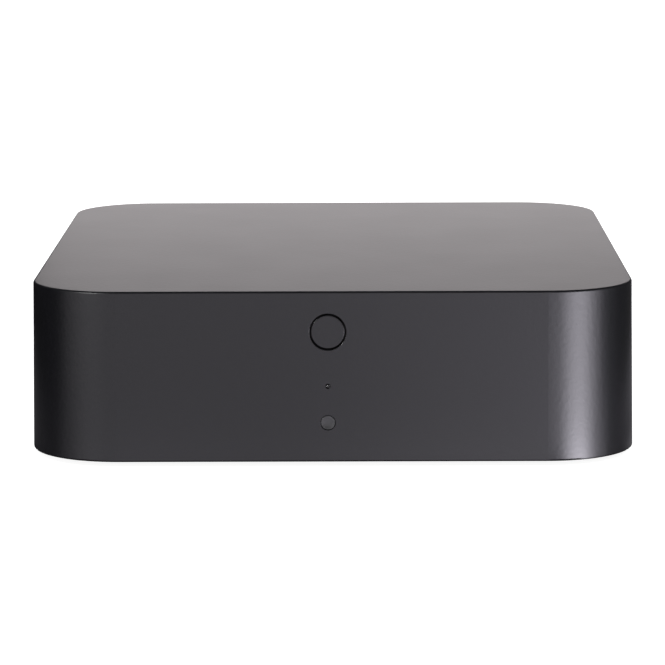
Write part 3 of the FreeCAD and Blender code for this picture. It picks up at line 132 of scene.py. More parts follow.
def vary_roughness(tree, shader, factor, low, high):
    """The roughness runs between two values as the factor goes from 0 to 1."""
    spread = add(tree, "ShaderNodeMapRange", {"Value": factor, "To Min": low, "To Max": high})
    tree.links.new(spread.outputs["Result"], shader.inputs["Roughness"])


def raise_grain(tree, shader, height, depth_mm, edge_mm=0.15):
    """A bump of the given depth. Sharp edges look rounded off by the given radius, as moulds and
    plating leave them."""
    rounded = add(tree, "ShaderNodeBevel", {"Radius": edge_mm * mm}, samples=6)
    bump = add(tree, "ShaderNodeBump", {"Height": height, "Distance": depth_mm * mm,
                                        "Normal": rounded.outputs["Normal"]})
    tree.links.new(bump.outputs["Normal"], shader.inputs["Normal"])


print("half grey in linear light:", round(linear("#808080")[0], 4))

# %% [markdown]
# ## The shell: moulded ABS with a spark-eroded texture
#
# The shell is moulded ABS. Its mould was spark-eroded, which leaves a skin of tiny craters, so the
# plastic is satin: reflections stay readable but soft. Seen at a grazing angle, as the top is here,
# such a black turns grey, because the skin mirrors the bright card behind. The real grit is about
# 0.1 mm, too fine for this picture, so the grain is drawn at 0.35 mm. A second, wider unevenness,
# about a millimetre across, breaks up the stripe on the corner. Both could come from one texture
# with more detail, but then neither depth could be set by itself.

# %% Satin black ABS
def satin_abs(name, dark, light, roughness, grain_mm=0.35):
    """A satin plastic with a fine grain, a wider unevenness, and roughness in soft clouds."""
    grain_depth_mm, wave_mm, wave_depth_mm, cloud_mm, spread = 0.0022, 1.1, 0.027, 18.0, 0.012
    material, tree, shader, place = new_finish(name, IOR=1.5)
    grain = add(tree, "ShaderNodeTexNoise", {"Vector": place, "Scale": per_metre(grain_mm),
                                             "Detail": 2.0, "Roughness": 0.6})
    wave = add(tree, "ShaderNodeTexNoise", {"Vector": place, "Scale": per_metre(wave_mm),
                                            "Detail": 1.0})
    fine = add(tree, "ShaderNodeMath", {0: grain.outputs["Fac"], 1: grain_depth_mm / wave_depth_mm},
               operation="MULTIPLY")
    height = add(tree, "ShaderNodeMath", {0: fine.outputs["Value"], 1: wave.outputs["Fac"]},
                 operation="ADD")
    raise_grain(tree, shader, height.outputs["Value"], wave_depth_mm)
    cloud = add(tree, "ShaderNodeTexNoise", {"Vector": place, "Scale": per_metre(cloud_mm),
                                             "Detail": 3.0})
    vary_colour(tree, shader, grain.outputs["Fac"], dark, light)
    vary_roughness(tree, shader, cloud.outputs["Fac"], roughness - spread, roughness + spread)
    return material


shell_abs = satin_abs("moulded_abs_satin_black", "#0e0e12", "#14141a", 0.33)
base_abs = satin_abs("moulded_abs_base", "#161617", "#1d1d1e", 0.42, grain_mm=0.5)
panel_abs = satin_abs("moulded_abs_rear_panel", "#121213", "#19191b", 0.4, grain_mm=0.3)
button_abs = satin_abs("moulded_abs_grey", "#3d3d3f", "#48484b", 0.36, grain_mm=0.25)
print("satin:", [finish.name for finish in (shell_abs, base_abs, panel_abs, button_abs)])

# %% [markdown]
# ## Gloss black, clear and rubber
#
# The ring on the front is polished ABS, the light is a polycarbonate pin, and the feet are silicone
# rubber with a powdery bloom. In each, one noise drives both the tone and the roughness, so that a
# hazy spot is also a duller one. The pin could be plain glass, but then it would show the white
# room. The real one looks dark, because a dark board lies behind it, so that dark is painted into
# its plastic as a dark tint, which is painted shade.

# %% Gloss ABS, polycarbonate and rubber
gloss_abs, tree, shader, place = new_finish("polished_abs_black", IOR=1.5)
haze = add(tree, "ShaderNodeTexNoise", {"Vector": place, "Scale": per_metre(2.0), "Detail": 3.0})
vary_colour(tree, shader, haze.outputs["Fac"], "#020203", "#050506")
vary_roughness(tree, shader, haze.outputs["Fac"], 0.06, 0.14)

polycarbonate, tree, shader, place = new_finish("polished_polycarbonate", IOR=1.58)
shader.inputs["Transmission Weight"].default_value = 0.7
tint = add(tree, "ShaderNodeTexNoise", {"Vector": place, "Scale": per_metre(0.5)})
# Painted shade: the pin's dark tones stand in for the dark board seen through the clear plastic.
vary_colour(tree, shader, tint.outputs["Fac"], "#2a2a2c", "#3a3a3d")
vary_roughness(tree, shader, tint.outputs["Fac"], 0.08, 0.16)

rubber, tree, shader, place = new_finish("silicone_rubber", IOR=1.41)
bloom = add(tree, "ShaderNodeTexNoise", {"Vector": place, "Scale": per_metre(0.6), "Detail": 4.0})
vary_colour(tree, shader, bloom.outputs["Fac"], "#1b1b1c", "#29292a")
vary_roughness(tree, shader, bloom.outputs["Fac"], 0.7, 0.9)
raise_grain(tree, shader, bloom.outputs["Fac"], 0.02)
print("gloss, clear and soft:", [finish.name for finish in (gloss_abs, polycarbonate, rubber)])

# %% [markdown]
# ## Metals
#
# The sockets' cans are rolled nickel silver with the fine lines of the roll, the phono barrels and
# the contacts are gold over nickel, the screws are zinc plated and blackened, and the heat sinks
# are extruded aluminium. Each is a metal, so its colour tints its reflections and it has no
# other body colour. The lines could come from an anisotropic shader, which needs tangents. A noise
# stretched along one axis works on any solid, and it moves tone, roughness and relief together.


# %% Metals
def rolled_metal(name, dark, light, roughness, stretch=(0.05, 1.0, 1.0)):
    """A bright metal whose rolling or drawing lines run along the axis that is stretched."""
    line_mm, spread, line_depth_mm = 0.15, 0.06, 0.002
    material, tree, shader, place = new_finish(name, Metallic=1.0)
    along = add(tree, "ShaderNodeMapping", {"Vector": place, "Scale": stretch})
    lines = add(tree, "ShaderNodeTexNoise", {"Vector": along.outputs["Vector"],
                                             "Scale": per_metre(line_mm), "Detail": 2.0})
    vary_colour(tree, shader, lines.outputs["Fac"], dark, light)
    vary_roughness(tree, shader, lines.outputs["Fac"], roughness - spread, roughness + spread)
    raise_grain(tree, shader, lines.outputs["Fac"], line_depth_mm)
    return material


nickel_silver = rolled_metal("nickel_silver", "#b4b2ab", "#cfcdc6", 0.28)
gold_plate = rolled_metal("gold_plate", "#d9ab58", "#eec77a", 0.2, stretch=(1.0, 0.05, 1.0))
black_zinc = rolled_metal("zinc_plate_blackened", "#2c2c2f", "#3b3b3e", 0.38)
aluminium = rolled_metal("extruded_aluminium", "#a9abad", "#c6c8ca", 0.35,
                         stretch=(1.0, 1.0, 0.05))
print("metals:", [finish.name for finish in (nickel_silver, gold_plate, black_zinc, aluminium)])

# %% [markdown]
# ## Moulded nylon, circuit board and the other inner finishes
#
# Most of these are hidden once the box is closed. They are finished all the same, because the part
# may be opened or cut through in another picture. Each could be a material of its own kind, but
# tone, gloss and index of refraction are what tells them apart, so one function makes them all.
# Only the circuit boards have a pattern, the weave of the glass cloth under the green mask.


# %% Inner finishes
def moulded_nylon(name, dark, light, roughness=0.45, ior=1.53):
    """A matt engineering plastic with a soft mottle from its glass filling."""
    mottle_mm, spread, mottle_depth_mm = 0.4, 0.06, 0.003
    material, tree, shader, place = new_finish(name, IOR=ior)
    mottle = add(tree, "ShaderNodeTexNoise", {"Vector": place, "Scale": per_metre(mottle_mm),
                                              "Detail": 3.0})
    vary_colour(tree, shader, mottle.outputs["Fac"], dark, light)
    vary_roughness(tree, shader, mottle.outputs["Fac"], roughness - spread, roughness + spread)
    raise_grain(tree, shader, mottle.outputs["Fac"], mottle_depth_mm)
    return material


black_nylon = moulded_nylon("moulded_nylon_black", "#101011", "#1a1a1b")
white_nylon = moulded_nylon("moulded_nylon_natural", "#d8d4c8", "#e6e3d9")
red_nylon = moulded_nylon("moulded_nylon_red", "#a3161b", "#bb2328")
orange_nylon = moulded_nylon("moulded_nylon_orange", "#c96a14", "#dc7c22")
milky_lens = moulded_nylon("diffusing_polycarbonate", "#b4b7a8", "#c6c9ba", 0.25, ior=1.58)
mould_epoxy = moulded_nylon("moulding_epoxy_black", "#1a1a1c", "#242427", 0.55)
ferrite = moulded_nylon("sintered_ferrite", "#2b2a29", "#3a3938", 0.6, ior=1.9)
pvc = moulded_nylon("pvc_insulation", "#1c1c1e", "#2a2a2c", 0.4)
polyester = moulded_nylon("polyester_film", "#cfd3d2", "#dfe3e2", 0.25, ior=1.65)
glass = moulded_nylon("fuse_glass", "#c9d2d0", "#dbe3e1", 0.12)
glass.node_tree.nodes["Principled BSDF"].inputs["Transmission Weight"].default_value = 0.8
red_emitter = moulded_nylon("emitter_lens_red", "#8c1212", "#b31c1a", 0.15)

board, tree, shader, place = new_finish("glass_epoxy_solder_mask", IOR=1.5)
weave = add(tree, "ShaderNodeTexBrick", {"Vector": place, "Color1": linear("#0f3320"),
                                         "Color2": linear("#123b26"), "Mortar": linear("#0c2b1b"),
                                         "Scale": per_metre(1.0), "Mortar Size": 0.06})
tree.links.new(weave.outputs["Color"], shader.inputs["Base Color"])
vary_roughness(tree, shader, weave.outputs["Fac"], 0.3, 0.4)
raise_grain(tree, shader, weave.outputs["Fac"], 0.01)
print("finishes so far:", len(bpy.data.materials))

# %% [markdown]
# ## Each solid gets its finish
#
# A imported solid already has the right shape, so it only needs its material slot filled. The table
# could go solid by solid, but finish by finish it also shows what each finish is used for.

# %% Finishes of the solids
finishes = {
    shell_abs: ["upper_shell"],
    base_abs: ["base_plate"],
    panel_abs: ["rear_panel"],
    button_abs: ["front_button_cap", "service_button_cap"],
    gloss_abs: ["badge_ring"],
    polycarbonate: ["status_light_pipe", "status_led"],
    rubber: ["rubber_feet"],
    black_zinc: ["case_screws", "rear_panel_screws", "main_board_screws", "power_board_screws",
                 "front_board_screws"],
    nickel_silver: ["ethernet_shield", "usb_shell", "wireless_shield", "clock_crystals",
                    "fuse_clips", "mains_inlet_pins"],
    gold_plate: ["phono_barrels", "ethernet_contacts"],
    aluminium: ["processor_heatsink", "transistor_heatsink", "bulk_capacitor",
                "signal_capacitors"],
    black_nylon: ["mains_inlet", "ethernet_insert", "optical_housing", "optical_shutter",
                  "phono_blocks", "front_switch", "front_switch_plunger", "service_switch",
                  "service_switch_plunger"],
    white_nylon: ["phono_insulators", "usb_tongue", "harness_plugs", "flat_cable_sockets",
                  "muting_relays", "transformer_bobbin"],
    mould_epoxy: ["processor_chip", "memory_chips", "converter_chip", "switching_transistor"],
    ferrite: ["transformer_core", "mains_filter_choke"],
    pvc: ["antenna_leads", "power_harness"],
    polyester: ["insulation_sheet", "front_flat_cable"],
    glass: ["fuse_tube"],
    red_emitter: ["optical_emitter"],
    board: ["main_board", "power_board", "front_board", "wireless_module", "antenna_left",
            "antenna_right"],
}
for material, names in finishes.items():
    for name in names:
        nodes[name].data.materials.clear()
        nodes[name].data.materials.append(material)
bare = sorted(set(nodes) - {name for names in finishes.values() for name in names})
print("solids with no finish:", bare)

# %% [markdown]
# ## Making small turned pieces
#
# Buttons, sockets, feet and the ring are all round, so one function spins a profile into a closed
# shape. A profile lists radius and height in millimetres, and the height runs outward, toward
# whoever looks at the piece. A round piece could also be a cylinder with bevelled ends, but then
# dishes, beads and domes would need other tools.


# %% Piece helpers
def new_piece(name, shape, material, body, stands_for=None):
    """A finished mesh becomes an object that rides on a body."""
    bmesh.ops.remove_doubles(shape, verts=shape.verts, dist=0.0005 * mm)
    bmesh.ops.recalc_face_normals(shape, faces=shape.faces)
    data = bpy.data.meshes.new(name)
    shape.to_mesh(data)
    shape.free()
    data.shade_smooth()
    data.set_sharp_from_angle(angle=math.radians(35))
    data.materials.append(material)
    piece = bpy.data.objects.new(name, data)
    bpy.context.scene.collection.objects.link(piece)
    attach(piece, body)
    if stands_for:
        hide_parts(stands_for)
    return piece


def spin_profile(shape, profile, centre, outward, steps=96):
    """Adds a turned solid. A profile that leaves the axis alone has to come back to its start."""
    side = Vector((1, 0, 0))
    points = [shape.verts.new(Vector(centre) + side * radius * mm + Vector(outward) * height * mm)
              for radius, height in profile]
    edges = [shape.edges.new(pair) for pair in zip(points, points[1:])]
    bmesh.ops.spin(shape, geom=points + edges, cent=centre, axis=outward, dvec=(0, 0, 0),
                   angle=2 * math.pi, steps=steps, use_merge=True)


def middle(node):
    """The middle of a node's box."""
    low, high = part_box(node)
    return [(low[axis] + high[axis]) / 2 for axis in range(3)]


def add_block(shape, size_mm, place=(0, 0, 0)):
    """Adds a rectangular block with its middle at a place, and hands over its corners."""
    corners = bmesh.ops.create_cube(shape, size=1)["verts"]
    bmesh.ops.scale(shape, verts=corners, vec=[side * mm for side in size_mm])
    bmesh.ops.translate(shape, verts=corners, vec=place)
    return corners


def round_edges(shape, width_mm, segments):
    """Takes the sharpness off every edge."""
    bmesh.ops.bevel(shape, geom=shape.edges[:], offset=width_mm * mm, segments=segments,
                    affect="EDGES", profile=0.5, material=-1)


# %% [markdown]
# ## The ring on the front
#
# The ring is polished black and has a V-shaped groove along its middle. A flat ring would mirror
# the same floor as the wall round it and vanish. The groove's two flanks mirror the dark ceiling
# and each other, so it reads as a black line, and its rounded lips pick up small glints.

# %% Grooved ring
ring_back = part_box("badge_ring")[1][1]
ring_x, _, ring_z = middle("badge_ring")
# Millimetres: the radius of the ring's middle line, its section, and the radius of the lips.
ring_line, half_width, ring_height, groove_floor, lip = 4.1, 0.3, 0.3, 0.02, 0.06
lip_turns = [math.radians(140) * step / 7 for step in range(8)]
outer_lip = [(half_width - lip + lip * math.cos(turn), ring_height - lip + lip * math.sin(turn))
             for turn in lip_turns]
half_section = [(half_width, 0.0), *outer_lip]
other_half = [(-offset, rise) for offset, rise in half_section[::-1]]
section = [*half_section, (0.0, groove_floor), *other_half, half_section[0]]
shape = bmesh.new()
spin_profile(shape, [(ring_line + offset, rise) for offset, rise in section],
             (ring_x, ring_back, ring_z), (0, -1, 0), steps=180)
ring = new_piece("badge_ring_grooved", shape, gloss_abs, "case", "badge_ring")
print("grooved ring", len(ring.data.polygons), "faces")

# %% [markdown]
# ## The pinhole light
#
# The light is off. Its clear pin ends in a small dome just below the wall's face, so the hole looks
# dark, with one glint. The collar and the stem behind are the pin's own, as the CAD has them. A
# bump on a flat end could fake the dome, but the mesh itself would stay flat.

# %% Light pin with a dome
pin_low, pin_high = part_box("status_light_pipe")
pin_x, _, pin_z = middle("status_light_pipe")
pin_length = (pin_high[1] - pin_low[1]) / mm
stem_radius, collar_radius, collar_length, tip_radius, tip_length = 1.1, 1.6, 0.8, 0.53, 2.5
collar_end = pin_length - tip_length
collar_start = collar_end - collar_length
dome_foot, dome_rise = pin_length - 0.48, 0.34
dome = [(tip_radius * math.cos(turn), dome_foot + dome_rise * math.sin(turn))
        for turn in (math.pi / 2 * step / 8 for step in range(9))]
pin_profile = [(0.0, 0.0), (stem_radius, 0.0), (stem_radius, collar_start),
               (collar_radius, collar_start), (collar_radius, collar_end),
               (tip_radius, collar_end), *dome[:-1], (0.0, dome[-1][1])]
shape = bmesh.new()
spin_profile(shape, pin_profile, (pin_x, pin_high[1], pin_z), (0, -1, 0), steps=64)
new_piece("status_light_pin", shape, polycarbonate, "case", "status_light_pipe")
print("light pin", round(pin_length, 2), "mm long")

# %% [markdown]
# ## The two push buttons
#
# Each cap is one moulding: a dished head with a rounded rim, a flange that stops it behind its
# wall, and a stem that meets the switch. The dish is what shows: its lower right side faces the
# lamp on the left and turns lighter, which a flat head would not do.


# %% Push buttons
def button_cap(name, node, body, outward, head_radius):
    """A cap as long as the CAD's, from its stem's end at the switch to its face."""
    rim, dish, chamfer, stem = 0.15, 0.22, 0.1, 1.2
    flange, flange_back, flange_front = 2.7, 1.3, 2.1
    low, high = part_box(node)
    x, _, z = middle(node)
    length = (high[1] - low[1]) / mm
    stem_end = high[1] if outward[1] < 0 else low[1]
    rim_round = [(head_radius - rim + rim * math.cos(turn), length - rim + rim * math.sin(turn))
                 for turn in (math.radians(110) * step / 8 for step in range(9))]
    edge_radius, edge_rise = rim_round[-1]
    hollow = [(edge_radius * share, edge_rise - dish * (1 - share ** 2))
              for share in (0.85, 0.7, 0.5, 0.3, 0.15, 0.0)]
    profile = [(0.0, 0.0), (stem - chamfer, 0.0), (stem, chamfer), (stem, flange_back),
               (flange - chamfer, flange_back), (flange, flange_back + chamfer),
               (flange, flange_front - chamfer), (flange - chamfer, flange_front),
               (head_radius, flange_front), *rim_round, *hollow]
    shape = bmesh.new()
    spin_profile(shape, profile, (x, stem_end, z), outward)
    return new_piece(name, shape, button_abs, body, node)


front_head = button_cap("front_button_head", "front_button_cap", "front_button", (0, -1, 0), 1.7)
service_head = button_cap("service_button_head", "service_button_cap", "service_button", (0, 1, 0),
                          1.95)
print("button heads", [len(head.data.polygons) for head in (front_head, service_head)], "faces")

# %% [markdown]
# ## Phono sockets: coloured insulators and sprung contacts
#
# Home audio sockets are told apart by colour: white for the left line, red for the right one and
# orange for the digital output. Each insulator is a cup with a bore for the plug's pin, and inside
# the bore two gold leaves press on that pin.


# %% Insulators and contact leaves
def insulator(name, x, z, material):
    """A cup with its bore, and two leaves that lean away from the axis at the mouth."""
    low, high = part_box("phono_insulators")
    length = (high[1] - low[1]) / mm
    outer, bore, floor_height = 3.37, 1.7, 1.0
    leaf_size, off_axis, leaf_middle, lean = (0.12, 5.5, 1.5), 1.35, 4.2, 0.22
    profile = [(0.0, 0.0), (outer, 0.0), (outer, length - 0.4), (outer - 0.15, length - 0.25),
               (outer - 0.5, length - 0.1), (2.5, length - 0.45), (2.1, length - 0.5),
               (bore + 0.15, length - 0.55), (bore, length - 0.7), (bore, floor_height),
               (0.0, floor_height)]
    shape = bmesh.new()
    spin_profile(shape, profile, (x, low[1], z), (0, 1, 0))
    piece = new_piece(name, shape, material, "case", "phono_insulators")
    shape = bmesh.new()
    for turn in (0, math.pi):
        leaf = add_block(shape, leaf_size)
        for vert in leaf:
            if vert.co.y > 0:
                vert.co.x += lean * mm
        bmesh.ops.translate(shape, verts=leaf, vec=(off_axis * mm, 0, 0))
        bmesh.ops.rotate(shape, verts=leaf, cent=(0, 0, 0), matrix=Matrix.Rotation(turn, 3, "Y"))
        bmesh.ops.translate(shape, verts=leaf, vec=(x, low[1] + leaf_middle * mm, z))
    round_edges(shape, 0.02, 1)
    new_piece(f"{name}_leaves", shape, gold_plate, "case")


insulator_low, insulator_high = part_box("phono_insulators")
half_cup = 3.4 * mm
left_x, right_x = insulator_low[0] + half_cup, insulator_high[0] - half_cup
low_z, high_z = insulator_low[2] + half_cup, insulator_high[2] - half_cup
insulator("coax_insulator", left_x, low_z, orange_nylon)
insulator("line_right_insulator", right_x, low_z, red_nylon)
insulator("line_left_insulator", right_x, high_z, white_nylon)
print("phono sockets", round((right_x - left_x) / mm, 2), "mm apart")

# %% [markdown]
# ## Network and service sockets
#
# The network socket has two small light windows in its lower corners. The service socket's tongue
# carries four gold strips on its underside, where the plug's springs meet them. Both could be
# painted on with a texture, but as blocks with rounded edges they catch the light by themselves.

# %% Socket lights and contact strips
insert_low, insert_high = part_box("ethernet_insert")
insert_x = (insert_low[0] + insert_high[0]) / 2
window_size, window_off, window_depth, window_rise = (2.6, 1.2, 2.0), 5.6, 0.45, 2.2
shape = bmesh.new()
for side in (-1, 1):
    add_block(shape, window_size, (insert_x + side * window_off * mm,
                                   insert_high[1] - window_depth * mm,
                                   insert_low[2] + window_rise * mm))
round_edges(shape, 0.15, 3)
new_piece("ethernet_light_windows", shape, milky_lens, "case")

tongue_low, tongue_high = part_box("usb_tongue")
tongue_x = (tongue_low[0] + tongue_high[0]) / 2
usb_low, usb_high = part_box("usb_shell")
tongue_underside = (usb_low[2] + usb_high[2]) / 2 - 0.05 * mm
strip_size, strip_pitch, strip_depth = (1.0, 6.4, 0.12), 2.3, 3.9
shape = bmesh.new()
for place_in_row in (-1.5, -0.5, 0.5, 1.5):
    add_block(shape, strip_size, (tongue_x + place_in_row * strip_pitch * mm,
                                  tongue_high[1] - strip_depth * mm, tongue_underside))
round_edges(shape, 0.03, 2)
new_piece("usb_contact_strips", shape, gold_plate, "case")
print("network socket at x =", round(insert_x, 4), "and service socket at x =", round(tongue_x, 4))

# %% [markdown]
# ## Feet
#
# The feet are moulded silicone pads with three rings pressed into the underside, which keep them
# from sliding. They only show from below. The rings are part of the profile that is spun, because
# a bump alone would leave the feet's mesh flat.

# %% Feet
feet_low, feet_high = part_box("rubber_feet")
foot_radius, foot_height = 8.0, (feet_high[2] - feet_low[2]) / mm
groove_depth, half_mouth, half_floor = 0.25, 0.5, 0.35
foot_profile = [(0.0, 0.0), (foot_radius, 0.0), (foot_radius, foot_height - 0.4),
                (foot_radius - 0.1, foot_height - 0.15), (foot_radius - 0.3, foot_height)]
for groove in (6.0, 4.2, 2.4):
    foot_profile += [(groove + half_mouth, foot_height),
                     (groove + half_floor, foot_height - groove_depth),
                     (groove - half_floor, foot_height - groove_depth),
                     (groove - half_mouth, foot_height)]
foot_profile.append((0.0, foot_height))
shape = bmesh.new()
for x in (feet_low[0] + foot_radius * mm, feet_high[0] - foot_radius * mm):
    for y in (feet_low[1] + foot_radius * mm, feet_high[1] - foot_radius * mm):
        spin_profile(shape, foot_profile, (x, y, feet_high[2]), (0, 0, -1), steps=72)
new_piece("ringed_feet", shape, rubber, "case", "rubber_feet")
print("feet", round(foot_height, 2), "mm high")

# %% [markdown]
# ## The studio floor
#
# The floor is a plain pale sheet. Its open parts reach white through the light path and not through
# stronger lamps, so the box's own colours keep their level, and the box still shades it a little.
#
# The camera looks down by nine degrees, so the upright walls mirror the floor in front of them and
# not the room. The bright stripe on the right corner is therefore a pool of light on the floor,
# out to the right, and the pool is painted into the floor as a glow that only reflections see. Each
# point of that painted glow takes its brightness from the bearing of the nearest wall, so that a
# round corner, whose wall takes every bearing in turn, shows the light of one side as a stripe from
# top to bottom. Lamps could make the same pool, but they would also light the plastic itself, and a
# black body shows that at once.
#
# Close to a round corner of radius R, the ray that the corner mirrors to a point has turned further
# than the point's own bearing, and the stripe would lean at its foot. The lag at distance r is
# about R / r times the sine of half the bearing, widened by the same share, so it is added.


# %% Tone ramps
def fill_ramp(ramp, tones, tint=(1.0, 1.0, 1.0)):
    """Sets a colour ramp's stops from a table of place and level, tinted."""
    stops = ramp.color_ramp.elements
    stops.remove(stops[1])
    for index, (place, level) in enumerate(tones.items()):
        stop = stops[0] if index == 0 else stops.new(place)
        stop.position = place
        stop.color = (*[level * share for share in tint], 1.0)


# %% Floor paint: the bearing of the nearest wall
floor_paint = bpy.data.materials.new("studio_floor_white_painted_pool")
floor_paint.use_nodes = True
tree = floor_paint.node_tree
tree.nodes.clear()

shell_low, shell_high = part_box("upper_shell")
corner_radius = 21.5 * mm
outline_middle = [(shell_low[axis] + shell_high[axis]) / 2 for axis in range(2)]
half_axes = [(shell_high[axis] - shell_low[axis]) / 2 - corner_radius for axis in range(2)]

# The walls' outline is a rectangle with round corners. A point's place beyond the inner rectangle,
# the one through the corners' axes, gives both its bearing and its distance from the walls.
place = add(tree, "ShaderNodeTexCoord").outputs["Object"]
about_box = add(tree, "ShaderNodeMapping", {"Vector": place, "Location": (*outline_middle, 0)},
                vector_type="TEXTURE").outputs["Vector"]
one_quarter = add(tree, "ShaderNodeVectorMath", {0: about_box}, operation="ABSOLUTE")
past_axes = add(tree, "ShaderNodeVectorMath", {0: one_quarter.outputs["Vector"],
                                               1: (*half_axes, 0)}, operation="SUBTRACT")
outside = add(tree, "ShaderNodeVectorMath", {0: past_axes.outputs["Vector"], 1: (0, 0, 0)},
              operation="MAXIMUM").outputs["Vector"]
quarter = add(tree, "ShaderNodeVectorMath", {0: about_box}, operation="SIGN")
beyond = add(tree, "ShaderNodeVectorMath", {0: outside, 1: quarter.outputs["Vector"]},
             operation="MULTIPLY")
turned = add(tree, "ShaderNodeMapping", {"Vector": beyond.outputs["Vector"],
                                         "Rotation": (0, 0, math.radians(-90))},
             vector_type="TEXTURE")
# Half is straight ahead of the box, and each hundredth is 3.6 degrees further to the right.
sector = add(tree, "ShaderNodeTexGradient", {"Vector": turned.outputs["Vector"]},
             gradient_type="RADIAL")
off_ahead = add(tree, "ShaderNodeMath", {0: sector.outputs["Fac"], 1: 0.5}, operation="SUBTRACT")
half_turn = add(tree, "ShaderNodeMath", {0: off_ahead.outputs["Value"], 1: math.pi},
                operation="MULTIPLY").outputs["Value"]
reach = add(tree, "ShaderNodeVectorMath", {0: outside}, operation="LENGTH").outputs["Value"]
nearness = add(tree, "ShaderNodeMath", {0: corner_radius, 1: reach},
               operation="DIVIDE").outputs["Value"]
wider_turn = add(tree, "ShaderNodeMath", {0: half_turn, 1: nearness, 2: half_turn},
                 operation="MULTIPLY_ADD")
sine = add(tree, "ShaderNodeMath", {0: wider_turn.outputs["Value"]}, operation="SINE")
lag = add(tree, "ShaderNodeMath", {0: sine.outputs["Value"], 1: nearness}, operation="MULTIPLY")
bearing = add(tree, "ShaderNodeMath", {0: lag.outputs["Value"], 1: 1 / (2 * math.pi),
                                       2: sector.outputs["Fac"]}, operation="MULTIPLY_ADD")
print("corner axes", [round(value, 4) for value in half_axes], "m off the middle")

# %% Floor paint: the painted pool of light that reflections see
# Degrees to the right of straight ahead, and how bright the painted pool makes the floor look there
# in a reflection.
levels = {-180: 1.2, -174: 0.03, -150: 0.02, -120: 0.08, -90: 0.08, -78: 0.3, -66: 0.4, -54: 0.68,
          -42: 0.8, -30: 0.88, -15: 0.85, 0: 1.0, 10: 0.95, 20: 1.55, 30: 4.6, 40: 6.5, 50: 6.4,
          60: 3.2, 70: 1.2, 80: 0.9, 90: 0.22, 120: 0.1, 150: 0.27, 180: 1.2}
# A ramp's levels stay below 1, so they are shares of this one.
brightest = 6.6
pool = add(tree, "ShaderNodeValToRGB", {"Fac": bearing.outputs["Value"]})
fill_ramp(pool, {0.5 + degrees / 360: level / brightest for degrees, level in levels.items()},
          (1.0, 0.965, 1.06))

# From 0 at 2 mm under the box to 1 at 98 mm off its walls.
from_wall = add(tree, "ShaderNodeMapRange", {"Value": reach, "From Min": corner_radius - 2 * mm,
                                             "From Max": corner_radius + 98 * mm})
# Painted shade: the floor glow that reflections see fades to dark close to the walls and under the
# box.
painted_shade_near_walls = add(tree, "ShaderNodeValToRGB", {"Fac": from_wall.outputs["Result"]})
fill_ramp(painted_shade_near_walls, {0.0: 0.0, 0.02: 0.04, 0.03: 0.22, 0.05: 0.83, 0.1: 1.0, 0.22: 0.97,
                       0.52: 0.87, 1.0: 0.81})
# Painted light: close to the walls the pool's painted glow is up to a third stronger.
painted_pool_glow = add(tree, "ShaderNodeValToRGB", {"Fac": from_wall.outputs["Result"]})
fill_ramp(painted_pool_glow, {0.0: 0.3, 0.12: 0.28, 0.42: 0.16, 0.92: 0.0})
boost = add(tree, "ShaderNodeMath", {0: painted_pool_glow.outputs["Color"], 1: pool.outputs["Color"],
                                     2: 1.0}, operation="MULTIPLY_ADD")
strength = add(tree, "ShaderNodeMath", {0: painted_shade_near_walls.outputs["Color"],
                                        1: boost.outputs["Value"]}, operation="MULTIPLY")
# Painted light: the whole floor that reflections see is brighter on the pool's side, so the front's
# right half is lighter too.
across = add(tree, "ShaderNodeSeparateXYZ", {"Vector": place}).outputs["X"]
left_strength = 1.15 * brightest
painted_light_on_pool_side = add(tree, "ShaderNodeMapRange", {"Value": across, "From Min": -20 * mm,
                                             "From Max": 60 * mm, "To Min": left_strength,
                                             "To Max": 1.65 * left_strength},
                interpolation_type="SMOOTHSTEP")
scaled = add(tree, "ShaderNodeMath", {0: strength.outputs["Value"],
                                      1: painted_light_on_pool_side.outputs["Result"]}, operation="MULTIPLY")
# Painted light: this glow is the pool of light, and only reflections see it.
mirrored = add(tree, "ShaderNodeEmission", {"Color": pool.outputs["Color"],
                                            "Strength": scaled.outputs["Value"]})
print("pool brightest at", max(levels, key=levels.get), "degrees")

# %% Floor paint: what the camera sees of it
path = add(tree, "ShaderNodeLightPath")
seen = add(tree, "ShaderNodeMath", {0: path.outputs["Is Camera Ray"],
                                    1: path.outputs["Is Transmission Ray"]}, operation="MAXIMUM")
# The overhead lamp and the room's fill add the rest of the white.
lift_level = 0.92
white_share = add(tree, "ShaderNodeMath", {0: seen.outputs["Value"], 1: lift_level},
                  operation="MULTIPLY")
lift = add(tree, "ShaderNodeEmission", {"Strength": white_share.outputs["Value"]})
paper = add(tree, "ShaderNodeBsdfDiffuse", {"Color": (0.5, 0.5, 0.5, 1.0)})
both = add(tree, "ShaderNodeAddShader", {0: paper.outputs["BSDF"], 1: lift.outputs["Emission"]})
final = add(tree, "ShaderNodeMixShader", {0: path.outputs["Is Glossy Ray"],
                                          1: both.outputs["Shader"],
                                          2: mirrored.outputs["Emission"]})
add(tree, "ShaderNodeOutputMaterial", {"Surface": final.outputs["Shader"]})
print("floor paint of", len(tree.nodes), "nodes")

# %% Floor
shape = bmesh.new()
bmesh.ops.create_grid(shape, x_segments=1, y_segments=1, size=3)
floor_data = bpy.data.meshes.new("studio_floor")
shape.to_mesh(floor_data)
shape.free()
floor_data.materials.append(floor_paint)
floor = bpy.data.objects.new("studio_floor", floor_data)
bpy.context.scene.collection.objects.link(floor)
print("floor", [round(side, 2) for side in floor.dimensions[:2]], "m")

# %% [markdown]
# ## The room
#
# The camera sees plain white all round. Reflections see a product booth: bright low down and dark
# above, and dark right behind the box too, where a card takes the room's place. The dark ceiling
# and the dark camera's side draw the thin dark line along the top's rounded edge. Real walls could
# do the same, but they would have to be lit. Light set by direction needs neither walls nor lamps.

